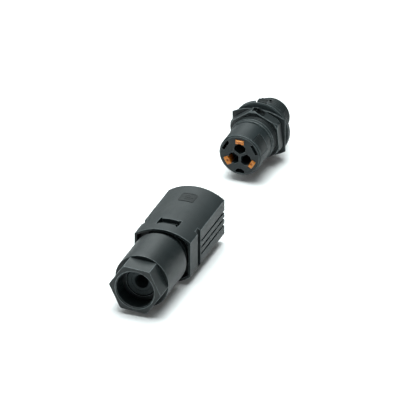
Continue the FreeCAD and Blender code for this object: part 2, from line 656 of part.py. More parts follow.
def panel_housing():
    """Housing: threaded tube, flange disc, stop ring and hollow plug, with the pin partition."""
    body = fuse_all([rod(THREAD_START, FLANGE_START + 1, THREAD_R),
                     rod(FLANGE_START, FLANGE_END, FLANGE_R),
                     rod(FLANGE_END - 1, PLUG_END, PLUG_R),
                     rod(FLANGE_END - 1, STOP_END, PLUG_R + SHOULDER_RISE)])
    slot_half = LATCH_W / 2 + FREE
    groove_start = FLANGE_END + PLUG_ORING_START
    arm_low = LATCH_ARM_Z - 1.2
    pin_hole = Part.makeCylinder(LATCH_PIN_R, LATCH_PIN_LEN + 0.2,
                                 V(latch_pivot_x(), -LATCH_PIN_LEN / 2 - 0.1, LATCH_PIN_Z), V(0, 1, 0))
    tools = [
        rod(THREAD_START - 1, PARTITION_START, HOUSING_BORE_R),
        rod(PARTITION_END, PLUG_END + 1, PLUG_BORE_R),
        block(THREAD_START - 1, FLANGE_START, -THREAD_R, THREAD_R, -THREAD_R - 1, KEY_FLAT - THREAD_R),
        block(FLANGE_START + LATCH_BACK_WALL, STOP_END + 1, -slot_half, slot_half, arm_low, FLANGE_R + 1),
        tube(groove_start, groove_start + ORING_W, PLUG_R + 1, PLUG_R - PLUG_WALL * 0.55),
        pin_hole,
    ]
    tools += [at_pole(shank(PARTITION_START - 1, PARTITION_END + 1, PIN_R + 0.15), a) for a in POLE_ANGLES]
    return cut_all(body, tools)


def plug_oring():
    """O-ring round the plug."""
    depth = PLUG_WALL * 0.55
    section_r = (depth + PLUG_SEAL_SPACE) / 2 - SEAL_GAP
    outer_r = PLUG_R - depth + 2 * section_r + SEAL_GAP
    return ring_seal(FLANGE_END + PLUG_ORING_START + ORING_W / 2, outer_r, section_r)


def pin_carrier():
    """Insulating disc that holds the pin contacts behind the conductor carrier."""
    disc = rod(STUB_END + FACE_GAP, PARTITION_START - FACE_GAP, STUB_R)
    hole = shank(STUB_END - 1, PARTITION_START + 1, CONTACT_HOLE_R)
    return cut_all(disc, [at_pole(hole, a) for a in POLE_ANGLES])


def pin_contact():
    """Top pin contact: flat tail, round shank and a pin with a coned tip."""
    shank_end = PARTITION_START - FACE_GAP
    tip = PLUG_END - PIN_RECESS
    cone_len = PIN_R * 0.7
    nose = Part.makeCone(PIN_R, PIN_R * 0.45, cone_len, V(tip - cone_len, 0, PITCH_R), X_AXIS)
    return fuse_all([contact_tail(0), shank(CHAMBER_DEPTH - BAR_LAP, shank_end, CONTACT_R),
                     shank(shank_end - 1, tip - cone_len, PIN_R), nose])


def lock_nut():
    """Hexagonal lock nut with rounded corners and a pocket at every other corner."""
    mid = (LOCKNUT_START + LOCKNUT_END) / 2
    corner_r = LOCKNUT_AF / sqrt(3)
    nut = hexagon(LOCKNUT_START, LOCKNUT_END, LOCKNUT_AF, 30 - LOCKNUT_TURN)
    slope = LOCKNUT_CORNER_CUT
    shell = fuse_all([
        cone(LOCKNUT_START, LOCKNUT_START + slope, corner_r - slope, corner_r - slope * 0.3),
        rod(LOCKNUT_START + slope, LOCKNUT_END - slope, corner_r - slope * 0.3),
        cone(LOCKNUT_END - slope, LOCKNUT_END, corner_r - slope * 0.3, corner_r - slope),
    ])
    long, wide, deep = POCKET
    pocket = block(mid - long / 2, mid + long / 2, -wide / 2, wide / 2, corner_r - slope - deep, corner_r + 1)
    nut = nut.common(shell).cut(rod(LOCKNUT_START - 1, LOCKNUT_END + 1, LOCKNUT_BORE_R))
    return cut_all(nut, [turned(pocket, a - 90 + LOCKNUT_TURN) for a in POCKET_ANGLES])


def pressure_plate():
    """Keyed plate between the lock nut and the panel."""
    half_w = LOCKNUT_BORE_R + PLATE_RIM_SIDE
    top = LOCKNUT_BORE_R + PLATE_RIM_TOP
    plate = domed_bar(PLATE_START, PLATE_END, half_w, top - PLATE_DOME_RISE, top, SLEEVE_LAND_W / 2)
    hole = rod(PLATE_START - 1, PLATE_END + 1, LOCKNUT_BORE_R)
    flat_z = KEY_FLAT - THREAD_R - THREAD_FIT
    key = block(PLATE_START - 2, PLATE_END + 2, -THREAD_R, THREAD_R, -THREAD_R - 2, flat_z)
    return plate.cut(hole.cut(key))


def flange_gasket():
    """Flat gasket on the panel side of the flange."""
    return tube(GASKET_START, FLANGE_START, FLANGE_R - GASKET_INSET, THREAD_R + SEAL_GAP)


def latch_pivot_x():
    """Station of the latch pin: just clear of the flange wall in front of it."""
    return FLANGE_START + LATCH_BACK_WALL + FREE + LATCH_HUB_R


def latch_pin():
    """Pin across the flange slot that the latch lever turns on."""
    start = V(latch_pivot_x(), -LATCH_PIN_LEN / 2, LATCH_PIN_Z)
    return Part.makeCylinder(LATCH_PIN_R, LATCH_PIN_LEN, start, V(0, 1, 0))


def latch_lever():
    """Latch lever: hub on the pin, finger pad behind the flange and a hook arm with a tooth."""
    hub_x = latch_pivot_x()
    arm_low, arm_top = LATCH_ARM_Z, LATCH_ARM_Z + LATCH_ARM_T
    arm_end = latch_arm_end()
    tooth_start = arm_end - LATCH_TOOTH_LEN
    pad_start = FLANGE_END + FREE
    pad_end = pad_start + LATCH_PAD_LEN
    tooth_top = arm_top + LATCH_TOOTH
    outline = [(hub_x, arm_low), (arm_end, arm_low), (arm_end, arm_top), (tooth_start + 0.4, tooth_top),
               (tooth_start, tooth_top), (tooth_start, arm_top), (pad_end, arm_top), (pad_end, LATCH_TOP_Z),
               (pad_start, LATCH_TOP_Z), (pad_start - 0.6, LATCH_TOP_Z - 1.2), (hub_x, LATCH_TOP_Z - 1.4)]
    half = LATCH_W / 2
    hub = Part.makeCylinder(LATCH_HUB_R, LATCH_W, V(hub_x, -half, LATCH_PIN_Z), V(0, 1, 0))
    hole = Part.makeCylinder(LATCH_PIN_R + PIN_FIT, LATCH_W + 2, V(hub_x, -half - 1, LATCH_PIN_Z), V(0, 1, 0))
    return side_prism(outline, half).fuse(hub).removeSplitter().cut(hole)


def latch_spring():
    """Leaf spring under the latch arm."""
    low = LATCH_ARM_Z - 1.2
    x0 = FLANGE_START + LATCH_BACK_WALL + FREE
    outline = [(x0, low), (STOP_END - 0.3, low), (STOP_END - 0.3, low + 0.25), (x0, low + 0.25)]
    return side_prism(outline, LATCH_W / 2 - 0.8)


# ---- build ------------------------------------------------------------------------------
def cable_half():
    """Every node of the cable half, about its own axis."""
    nodes = {
        "gland_nut": gland_nut(), "gland_thrust_ring": gland_thrust_ring(), "gland_cage": gland_cage(),
        "gland_seal_outer": gland_seal_outer(), "gland_seal_inner": gland_seal_inner(),
        "gland_body": gland_body(), "body_oring": body_oring(), "body_snap_tab": body_snap_tab(),
        "sleeve": sleeve(), "cable_carrier": cable_carrier(), "socket_carrier": socket_carrier(),
        "socket_boss": socket_boss(),
    }
    for number, angle in enumerate(POLE_ANGLES, 1):
        nodes[f"socket_contact_{number}"] = at_pole(socket_contact(), angle)
        nodes[f"cable_pusher_{number}"] = at_pole(pusher(CABLE_FACE), angle)
        nodes[f"cable_clamp_spring_{number}"] = at_pole(clamp_spring(CABLE_FACE), angle)
    return nodes


def panel_half():
    """Every node of the panel half, about its own axis."""
    nodes = {
        "panel_housing": panel_housing(), "plug_oring": plug_oring(), "panel_carrier": panel_carrier(),
        "pin_carrier": pin_carrier(), "lock_nut": lock_nut(), "pressure_plate": pressure_plate(),
        "flange_gasket": flange_gasket(), "latch_lever": latch_lever(), "latch_pin": latch_pin(),
        "latch_spring": latch_spring(), "carrier_snap_tab_right": carrier_snap_tab(),
        "carrier_snap_tab_left": mirrored(carrier_snap_tab()),
    }
    for number, angle in enumerate(POLE_ANGLES, 1):
        nodes[f"pin_contact_{number}"] = at_pole(pin_contact(), angle)
        nodes[f"panel_pusher_{number}"] = at_pole(pusher(0), angle)
        nodes[f"panel_clamp_spring_{number}"] = at_pole(clamp_spring(0), angle)
    return nodes


def write(nodes, offset):
    """Lay the nodes down at the offset and write one file for each."""
    for name, shape in nodes.items():
        solid = shape.copy()
        solid.translate(offset)
        count = len(solid.Solids)
        if not solid.isValid() or count != 1:
            raise ValueError(f"{name} is not one valid solid: {count} solids")
        solid.Solids[0].exportStep(f"parts/{name}.step")
        box = solid.BoundBox
        print(f"{name:26s} x {box.XMin:8.2f} {box.XMax:8.2f}  y {box.YMin:7.2f} {box.YMax:7.2f}"
              f"  z {box.ZMin:6.2f} {box.ZMax:6.2f}  volume {solid.Volume:9.1f}")


os.makedirs("parts", exist_ok=True)
write(cable_half(), V(CABLE_X, 0, CABLE_Z))
write(panel_half(), V(PANEL_X, 0, PANEL_Z))
print(f"gland nut {NUT_AF:.2f} and lock nut {LOCKNUT_AF:.2f} across flats, total length {TOTAL_LEN:.2f}")
print(f"cable half at x {CABLE_X:.3f} z {CABLE_Z:.3f}, panel half at x {PANEL_X:.3f} z {PANEL_Z:.3f}")
tab_x, tab_z = tab_pivot()
print(f"snap tab bends at x {CABLE_X + tab_x:.3f} z {CABLE_Z + tab_z:.3f}")
print(f"latch pin at x {PANEL_X + latch_pivot_x():.3f} z {PANEL_Z + LATCH_PIN_Z:.3f}")
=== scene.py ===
"""Looks of a two-part solar cable connector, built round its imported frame.

Everything is in metres and in the frame's own axes: +X runs from the cable gland to the mating ends,
+Y is to the left and +Z is up. Each visible node of the frame gets a copy with rounded edges, and small
repeated details, such as threads, beads and grip ribs, are grown from geometry node trees.
"""

import json
import logging
import math
from collections.abc import Callable
from dataclasses import dataclass, field
from enum import Enum
from typing import Any

import bmesh
import bpy
from mathutils import Matrix, Vector

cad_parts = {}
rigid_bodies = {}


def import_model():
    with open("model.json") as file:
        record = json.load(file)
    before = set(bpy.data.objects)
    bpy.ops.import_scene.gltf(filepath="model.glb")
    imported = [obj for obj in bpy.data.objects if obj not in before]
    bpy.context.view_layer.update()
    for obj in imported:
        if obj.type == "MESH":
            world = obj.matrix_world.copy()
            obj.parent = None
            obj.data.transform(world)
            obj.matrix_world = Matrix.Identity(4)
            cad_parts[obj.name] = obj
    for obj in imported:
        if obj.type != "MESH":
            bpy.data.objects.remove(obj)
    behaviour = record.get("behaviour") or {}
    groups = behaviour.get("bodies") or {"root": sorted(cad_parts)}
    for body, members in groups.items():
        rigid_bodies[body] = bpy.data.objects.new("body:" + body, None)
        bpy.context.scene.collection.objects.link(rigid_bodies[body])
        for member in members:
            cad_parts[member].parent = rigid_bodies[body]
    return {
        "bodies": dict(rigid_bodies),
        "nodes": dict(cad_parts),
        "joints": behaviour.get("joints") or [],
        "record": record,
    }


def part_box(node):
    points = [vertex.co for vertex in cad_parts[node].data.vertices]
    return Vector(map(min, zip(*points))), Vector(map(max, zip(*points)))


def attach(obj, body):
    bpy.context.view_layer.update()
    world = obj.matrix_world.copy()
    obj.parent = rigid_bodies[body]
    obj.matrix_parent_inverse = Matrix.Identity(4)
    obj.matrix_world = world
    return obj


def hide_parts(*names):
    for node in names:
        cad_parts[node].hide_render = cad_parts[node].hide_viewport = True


LOG = logging.getLogger("connector")
MM = 0.001
# Face attribute for the lighter edge colour: part scuffing, part painted highlight.
SCUFF_HIGHLIGHT_EDGE = "worn_edge"
WELD = 1e-6
FINE_WELD = 1e-7
Reshape = Callable[[Vector], Vector]


class Slot(Enum):
    """Material slots of the record."""

    HOUSING = "housing_plastic"
    NUT = "nut_plastic"
    INSULATOR = "insulator_plastic"
    SMALL_PART = "small_part_plastic"
    ORANGE = "orange_plastic"
    SEAL = "seal_rubber"
    CONTACT = "contact_brass"
    SPRING = "spring_steel"


class Port(Enum):
    """Kinds of socket on the rim of a node group."""

    NUMBER = "NodeSocketFloat"
    WHOLE = "NodeSocketInt"
    VECTOR = "NodeSocketVector"
    MATERIAL = "NodeSocketMaterial"
    SHAPE = "NodeSocketGeometry"


# ---- node trees -------------------------------------------------------------------------------
class NodeBench:
    """A node tree being wired, for shaders and for geometry alike."""

    def __init__(self, tree: bpy.types.NodeTree) -> None:
        """Start wiring in a tree.

        Args:
            tree: the node tree that new nodes go into.
        """
        self.tree = tree

    def add(self, kind: str, inputs: dict[Any, Any] | None = None, **settings: Any) -> bpy.types.Node:
        """Add a node, set its options and feed its inputs.

        Args:
            kind: the node's type name.
            inputs: for an input's name or number, a value to set or a socket to link from.
            **settings: options of the node itself.

        Returns:
            The new node.
        """
        node = self.tree.nodes.new(kind)
        for name, value in settings.items():
            setattr(node, name, value)
        for key, value in (inputs or {}).items():
            if isinstance(value, bpy.types.NodeSocket):
                self.tree.links.new(value, node.inputs[key])
            else:
                node.inputs[key].default_value = value
        return node

    def maths(self, operation: str, *values: Any, clamp: bool = False) -> bpy.types.NodeSocket:
        """Add a Math node.

        Args:
            operation: what it works out.
            *values: its inputs in order, each a number or a socket.
            clamp: whether the result is held between 0 and 1.

        Returns:
            The node's output.
        """
        node = self.add("ShaderNodeMath", dict(enumerate(values)), operation=operation, use_clamp=clamp)
        return node.outputs[0]

    def ramp(self, value: Any, low: float, high: float, start: Any = 0.0,
             end: Any = 1.0) -> bpy.types.NodeSocket:
        """Map a value smoothly from one range to another.

        Args:
            value: the socket or number to map.
            low: value that gives start.
            high: value that gives end.
            start: result at low and below.
            end: result at high and above.

        Returns:
            The mapped value.
        """
        feeds = {"Value": value, "From Min": low, "From Max": high, "To Min": start, "To Max": end}
        node = self.add("ShaderNodeMapRange", feeds, interpolation_type="SMOOTHSTEP", clamp=True)
        return node.outputs["Result"]

    def noise(self, place: Any, scale: Any, detail: float = 3.0, rough: float = 0.55) -> bpy.types.NodeSocket:
        """Add a noise texture.

        Args:
            place: the coordinates.
            scale: features per metre.
            detail: how many finer layers there are.
            rough: how strong the finer layers are.

        Returns:
            The noise, from 0 to 1.
        """
        feeds = {"Vector": place, "Scale": scale, "Detail": detail, "Roughness": rough}
        return self.add("ShaderNodeTexNoise", feeds).outputs["Fac"]

    def stretched(self, place: Any, scale: tuple[float, float, float],
                  spin: float = 0.0) -> bpy.types.NodeSocket:
        """Stretch and turn coordinates, so that a pattern on them runs one way.

        Args:
            place: the coordinates.
            scale: how many times finer the pattern gets along each axis.
            spin: turn about Z in radians.

        Returns:
            The new coordinates.
        """
        node = self.add("ShaderNodeMapping", {"Vector": place, "Rotation": (0.0, 0.0, spin), "Scale": scale})
        return node.outputs["Vector"]


def group_tree(kind: str, name: str, inputs: dict[str, Port], outputs: dict[str, Port]) -> tuple[
        NodeBench, bpy.types.Node, bpy.types.Node]:
    """Make an empty node group with named sockets.

    Args:
        kind: ShaderNodeTree or GeometryNodeTree.
        name: the group's name.
        inputs: its inputs and their kinds.
        outputs: its outputs and their kinds.

    Returns:
        A bench on the group, its input node and its output node.
    """
    tree = bpy.data.node_groups.new(name, kind)
    for label, port in inputs.items():
        tree.interface.new_socket(name=label, in_out="INPUT", socket_type=port.value)
    for label, port in outputs.items():
        tree.interface.new_socket(name=label, in_out="OUTPUT", socket_type=port.value)
    bench = NodeBench(tree)
    return bench, bench.add("NodeGroupInput"), bench.add("NodeGroupOutput")


# ---- shared surface effects -------------------------------------------------------------------
def moulded_grain() -> bpy.types.NodeTree:
    """Fine spark-eroded texture of a moulding tool, with cloudy tone.

    Returns:
        A group that gives a height in metres and a tone to multiply the colour by.
    """
    ports = {"Position": Port.VECTOR, "Grain Size": Port.NUMBER, "Grain Depth": Port.NUMBER,
             "Mottle": Port.NUMBER}
    bench, given, result = group_tree("ShaderNodeTree", "Moulded grain", ports,
                                      {"Height": Port.NUMBER, "Tone": Port.NUMBER})
    place = given.outputs["Position"]
    fine = bench.maths("DIVIDE", 1.0, given.outputs["Grain Size"])
    pits = bench.add("ShaderNodeTexVoronoi", {"Vector": place, "Scale": fine}, feature="SMOOTH_F1")
    bumps = bench.noise(place, bench.maths("MULTIPLY", fine, 1.7), 2.0)
    relief = bench.maths("ADD", bench.maths("MULTIPLY", pits.outputs["Distance"], 0.6), bumps)
    cloud = bench.noise(place, 160.0, 4.0, 0.6)
    speck = bench.noise(place, bench.maths("MULTIPLY", fine, 0.45), 1.0)
    spread = bench.maths("ADD", bench.maths("MULTIPLY", cloud, 0.65), bench.maths("MULTIPLY", speck, 0.35))
    swing = bench.maths("MULTIPLY", bench.maths("SUBTRACT", spread, 0.5), given.outputs["Mottle"])
    link = bench.tree.links.new
    link(bench.maths("MULTIPLY", relief, given.outputs["Grain Depth"]), result.inputs["Height"])
    link(bench.maths("MULTIPLY_ADD", swing, 2.0, 1.0), result.inputs["Tone"])
    return bench.tree


def edge_scuff_and_highlight() -> bpy.types.NodeTree:
    """Patchy scuffing on the rounded edges of a piece, which also paints on them the highlights that rounded
    edges catch.

    Returns:
        A group that gives a mask, 0 where the surface is fresh and 1 where it takes the lighter colour of
        scuffs and painted edge highlights.
    """
    ports = {"Position": Port.VECTOR, "Edge": Port.NUMBER, "Amount": Port.NUMBER}
    bench, given, result = group_tree("ShaderNodeTree", "Edge scuffing and highlight", ports, {"Mask": Port.NUMBER})
    patches = bench.ramp(bench.noise(given.outputs["Position"], 420.0, 4.0, 0.7), 0.3, 0.65, 0.35, 1.0)
    amount = bench.maths("MULTIPLY", patches, given.outputs["Amount"])
    mask = bench.maths("MULTIPLY", amount, given.outputs["Edge"], clamp=True)
    bench.tree.links.new(mask, result.inputs["Mask"])
    return bench.tree


def handling_marks() -> bpy.types.NodeTree:
    """Faint patches of rubbing and hairline scratches.

    Returns:
        A group that gives an amount to add to the roughness and a height in metres.
    """
    ports = {"Position": Port.VECTOR, "Amount": Port.NUMBER}
    bench, given, result = group_tree("ShaderNodeTree", "Handling marks", ports,
                                      {"Roughness": Port.NUMBER, "Height": Port.NUMBER})
    place = given.outputs["Position"]
    rubbed_and_highlit = bench.maths("SUBTRACT", bench.noise(place, 70.0, 5.0, 0.62), 0.5)
    lines = None
    for spin in (0.35, 1.25, 2.4):
        streak = bench.noise(bench.stretched(place, (1.0, 22.0, 22.0), spin), 110.0, 2.0)
        line = bench.ramp(streak, 0.66, 0.72)
        lines = line if lines is None else bench.maths("MAXIMUM", lines, line)
    shift = bench.maths("MULTIPLY_ADD", lines, 0.35, rubbed_and_highlit)
    link = bench.tree.links.new
    link(bench.maths("MULTIPLY", shift, given.outputs["Amount"]), result.inputs["Roughness"])
    depth = bench.maths("MULTIPLY", given.outputs["Amount"], -8e-6)
    link(bench.maths("MULTIPLY", lines, depth), result.inputs["Height"])
    return bench.tree


def tool_lines() -> bpy.types.NodeTree:
    """Fine lines left by turning or rolling, with a tarnish that comes and goes.

    Returns:
        A group that gives a height in metres and a tarnish mask.
    """
    ports = {"Position": Port.VECTOR, "Line Depth": Port.NUMBER, "Tarnish": Port.NUMBER}
    bench, given, result = group_tree("ShaderNodeTree", "Tool lines", ports,
                                      {"Height": Port.NUMBER, "Mask": Port.NUMBER})
    place = given.outputs["Position"]
    lines = bench.noise(bench.stretched(place, (14.0, 1.0, 1.0)), 900.0, 3.0)
    spots = bench.ramp(bench.noise(place, 320.0, 5.0, 0.65), 0.42, 0.7)
    link = bench.tree.links.new
    link(bench.maths("MULTIPLY", lines, given.outputs["Line Depth"]), result.inputs["Height"])
    link(bench.maths("MULTIPLY", spots, given.outputs["Tarnish"]), result.inputs["Mask"])
    return bench.tree


@dataclass(frozen=True)
class SurfaceEffects:
    """The shader groups that the finishes share."""

    grain: bpy.types.NodeTree
    scuff_and_highlight: bpy.types.NodeTree
    marks: bpy.types.NodeTree
    lines: bpy.types.NodeTree

    @classmethod
    def build(cls) -> "SurfaceEffects":
        """Build each group once."""
        return cls(moulded_grain(), edge_scuff_and_highlight(), handling_marks(), tool_lines())


# ---- finishes ---------------------------------------------------------------------------------
Colour = tuple[float, float, float]


class Dressing:
    """A material being made: its shader and the coordinates that every pattern reads."""

    def __init__(self, name: str) -> None:
        """Start a material that has only its shader.

        Args:
            name: the material's name.
        """
        self.material = bpy.data.materials.new(name)
        self.material.use_nodes = True
        self.bench = NodeBench(self.material.node_tree)
        self.bench.tree.nodes.clear()
        self.shader = self.bench.add("ShaderNodeBsdfPrincipled")
        self.bench.add("ShaderNodeOutputMaterial", {"Surface": self.shader.outputs["BSDF"]})
        self.place = self.bench.add("ShaderNodeTexCoord").outputs["Object"]

    def effect(self, tree: bpy.types.NodeTree, **values: Any) -> bpy.types.Node:
        """Place a shared effect.

        Args:
            tree: the shader group.
            **values: its inputs, with underscores for spaces.

        Returns:
            The group node.
        """
        node = self.bench.add("ShaderNodeGroup", node_tree=tree)
        self.bench.tree.links.new(self.place, node.inputs["Position"])
        for name, value in values.items():
            port = node.inputs[name.replace("_", " ")]
            if isinstance(value, bpy.types.NodeSocket):
                self.bench.tree.links.new(value, port)
            else:
                port.default_value = value
        return node

    def edge(self) -> bpy.types.NodeSocket:
        """The mask of rounded edges that the edge rounder leaves on a piece."""
        return self.bench.add("ShaderNodeAttribute", attribute_name=SCUFF_HIGHLIGHT_EDGE).outputs["Fac"]

    def colour(self, fresh: Colour, tone: Any, rubbed_and_highlit: Colour, mask: Any) -> None:
        """Feed the base colour: a fresh colour times a tone, and a second colour where the mask is.

        Args:
            fresh: colour of the untouched surface.
            tone: what the fresh colour is multiplied by.
            rubbed_and_highlit: the second colour; on plastic edges scuffing with a painted highlight, on
                rubber a bloom, on metal a tarnish.
            mask: where the second colour goes.
        """
        toned = self.bench.add("ShaderNodeVectorMath", {0: fresh, "Scale": tone}, operation="SCALE")
        feeds = {0: mask, 6: toned.outputs["Vector"], 7: (*rubbed_and_highlit, 1.0)}
        mixed = self.bench.add("ShaderNodeMix", feeds, data_type="RGBA")
        self.bench.tree.links.new(mixed.outputs[2], self.shader.inputs["Base Color"])

    def roughness(self, value: Any) -> None:
        """Feed the roughness."""
        self.bench.tree.links.new(value, self.shader.inputs["Roughness"])

    def relief(self, height: Any) -> None:
        """Feed a height in metres to the normal."""
        bump = self.bench.add("ShaderNodeBump", {"Height": height, "Distance": 1.0, "Strength": 1.0})
        self.bench.tree.links.new(bump.outputs["Normal"], self.shader.inputs["Normal"])


@dataclass(frozen=True)
class MouldedPlastic:
    """Injection-moulded plastic with a spark-eroded skin and rounded edges painted lighter, partly as scuffs
    and partly as highlights.
    """

    name: str
    colour: Colour
    rubbed_and_highlit: Colour
    roughness: float = 0.5
    grain_size: float = 0.28 * MM
    grain_depth: float = 0.012 * MM
    mottle: float = 0.5
    # How strongly the edges take the lighter colour of scuffs and painted highlights.
    scuff_and_highlight: float = 0.85
    marks: float = 0.25
    gloss: float = 0.42

    def make(self, effects: SurfaceEffects) -> bpy.types.Material:
        """Make the material.

        Args:
            effects: the shared shader groups.

        Returns:
            The finished material.
        """
        dress = Dressing(self.name)
        dress.shader.inputs["Specular IOR Level"].default_value = self.gloss
        bench = dress.bench
        grain = dress.effect(effects.grain, Grain_Size=self.grain_size, Grain_Depth=self.grain_depth,
                             Mottle=self.mottle)
        # Edge mask: lighter colour and lower roughness on the edges, part scuffing and part painted
        # highlight.
        scuffed_and_highlit = dress.effect(effects.scuff_and_highlight, Edge=dress.edge(), Amount=self.scuff_and_highlight).outputs["Mask"]
        marks = dress.effect(effects.marks, Amount=self.marks)
        dress.colour(self.colour, grain.outputs["Tone"], self.rubbed_and_highlit, scuffed_and_highlit)
        rough = bench.maths("ADD", self.roughness, marks.outputs["Roughness"])
        dress.roughness(bench.maths("MULTIPLY_ADD", scuffed_and_highlit, -0.12, rough, clamp=True))
        dress.relief(bench.maths("ADD", grain.outputs["Height"], marks.outputs["Height"]))
        return dress.material


@dataclass(frozen=True)
class SealRubber:
    """Matt elastomer with fine pores and a dusty bloom."""

    name: str
    colour: Colour
    bloom: Colour
    roughness: float = 0.68

    def make(self, effects: SurfaceEffects) -> bpy.types.Material:
        """Make the material.

        Args:
            effects: the shared shader groups.

        Returns:
            The finished material.
        """
        dress = Dressing(self.name)
        grain = dress.effect(effects.grain, Grain_Size=0.4 * MM, Grain_Depth=0.02 * MM, Mottle=0.35)
        dust = dress.bench.ramp(dress.bench.noise(dress.place, 260.0, 5.0, 0.7), 0.4, 0.75, 0.0, 0.5)
        marks = dress.effect(effects.marks, Amount=0.15)
        dress.colour(self.colour, grain.outputs["Tone"], self.bloom, dust)
        dress.roughness(dress.bench.maths("ADD", self.roughness, marks.outputs["Roughness"], clamp=True))
        dress.relief(grain.outputs["Height"])
        return dress.material


@dataclass(frozen=True)
class DrawnMetal:
    """Turned or rolled metal with fine tool lines and a light tarnish."""

    name: str
    colour: Colour
    tarnished: Colour
    roughness: float = 0.26
    tarnish: float = 0.5

    def make(self, effects: SurfaceEffects) -> bpy.types.Material:
        """Make the material.

        Args:
            effects: the shared shader groups.

        Returns:
            The finished material.
        """
        dress = Dressing(self.name)
        dress.shader.inputs["Metallic"].default_value = 1.0
        lines = dress.effect(effects.lines, Line_Depth=0.004 * MM, Tarnish=self.tarnish)
        tone = dress.bench.ramp(dress.bench.noise(dress.place, 700.0, 2.0), 0.2, 0.8, 0.92, 1.06)
        dress.colour(self.colour, tone, self.tarnished, lines.outputs["Mask"])
        rough = dress.bench.maths("MULTIPLY_ADD", lines.outputs["Mask"], 0.3, self.roughness, clamp=True)
        dress.roughness(rough)
        dress.relief(lines.outputs["Height"])
        return dress.material


# Each plastic's second colour, many times lighter than its base, goes on the rounded edges: partly scuffing,
# partly painted highlight.
FINISHES: dict[Slot, MouldedPlastic | SealRubber | DrawnMetal] = {
    Slot.HOUSING: MouldedPlastic("Charcoal housing", (0.0055, 0.0098, 0.0108), (0.1, 0.12, 0.124), 0.56),
    Slot.NUT: MouldedPlastic("Charcoal nut", (0.0055, 0.0094, 0.0102), (0.12, 0.142, 0.146), 0.5),
    Slot.INSULATOR: MouldedPlastic("Charcoal insulator", (0.0075, 0.0125, 0.014), (0.12, 0.142, 0.146), 0.54,
                                   0.2 * MM, 0.006 * MM, 0.35, gloss=0.34),
    Slot.SMALL_PART: MouldedPlastic("Charcoal small parts", (0.0036, 0.0062, 0.0068), (0.06, 0.07, 0.074),
                                    0.56, gloss=0.29),
    Slot.ORANGE: MouldedPlastic("Orange release key", (0.44, 0.115, 0.006), (0.9, 0.4, 0.07), 0.42,
                                0.2 * MM, 0.005 * MM, 0.3, 0.5, 0.2, gloss=0.5),
    Slot.SEAL: SealRubber("Seal rubber", (0.018, 0.028, 0.03), (0.034, 0.046, 0.049)),
    Slot.CONTACT: DrawnMetal("Contact brass", (0.72, 0.5, 0.2), (0.3, 0.19, 0.08)),
    Slot.SPRING: DrawnMetal("Spring strip", (0.55, 0.55, 0.54), (0.24, 0.22, 0.2), 0.3, 0.35),
}


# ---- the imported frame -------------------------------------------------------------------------
@dataclass
class PackedFrame:
    """The frame's nodes, with the body and the finish of each."""

    nodes: dict[str, bpy.types.Object]
    body_of: dict[str, str]
    slot_of: dict[str, Slot]
    finishes: dict[Slot, bpy.types.Material]

    @classmethod
    def load(cls) -> "PackedFrame":
        """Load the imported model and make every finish.

        Returns:
            The frame, ready to dress.
        """
        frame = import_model()
        record = frame["record"]
        body_of = {node: body for body, nodes in record["behaviour"]["bodies"].items() for node in nodes}
        slot_of = {entry["node"]: Slot(entry["material_slot"]) for entry in record["subparts"]}
        effects = SurfaceEffects.build()
        finishes = {slot: finish.make(effects) for slot, finish in FINISHES.items()}
        return cls(frame["nodes"], body_of, slot_of, finishes)

    def dress(self, node: str) -> None:
        """Give a node that keeps its own mesh the finish of its slot."""
        for slot in self.nodes[node].material_slots:
            slot.material = self.finishes[self.slot_of[node]]

    def finish_piece(self, piece: bpy.types.Object, node: str, stands_for: bool = False,
                     slot: Slot | None = None) -> None:
        """Let a piece move with a node's body, and hide the node when the piece is shown instead of it.

        Args:
            piece: the finished piece.
            node: the node whose body it shares.
            stands_for: whether it is shown instead of the node.
            slot: its slot, where that isn't the node's; not used.
        """
        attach(piece, self.body_of[node])
        if stands_for:
            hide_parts(node)
        LOG.info("%s: %d faces on %s", piece.name, len(piece.data.polygons), self.body_of[node])


def plain_mesh(piece: bpy.types.Object, name: str) -> bpy.types.Object:
    """Bake a piece's modifiers and take its place.

    Args:
        piece: an object with modifiers, which is removed.
        name: the new object's name.

    Returns:
        An object with a plain mesh and no modifiers.
    """
    graph = bpy.context.evaluated_depsgraph_get()
    mesh = bpy.data.meshes.new_from_object(piece.evaluated_get(graph), depsgraph=graph)
    bpy.data.objects.remove(piece)
    mesh.name = name
    result = bpy.data.objects.new(name, mesh)
    bpy.context.scene.collection.objects.link(result)
    return result


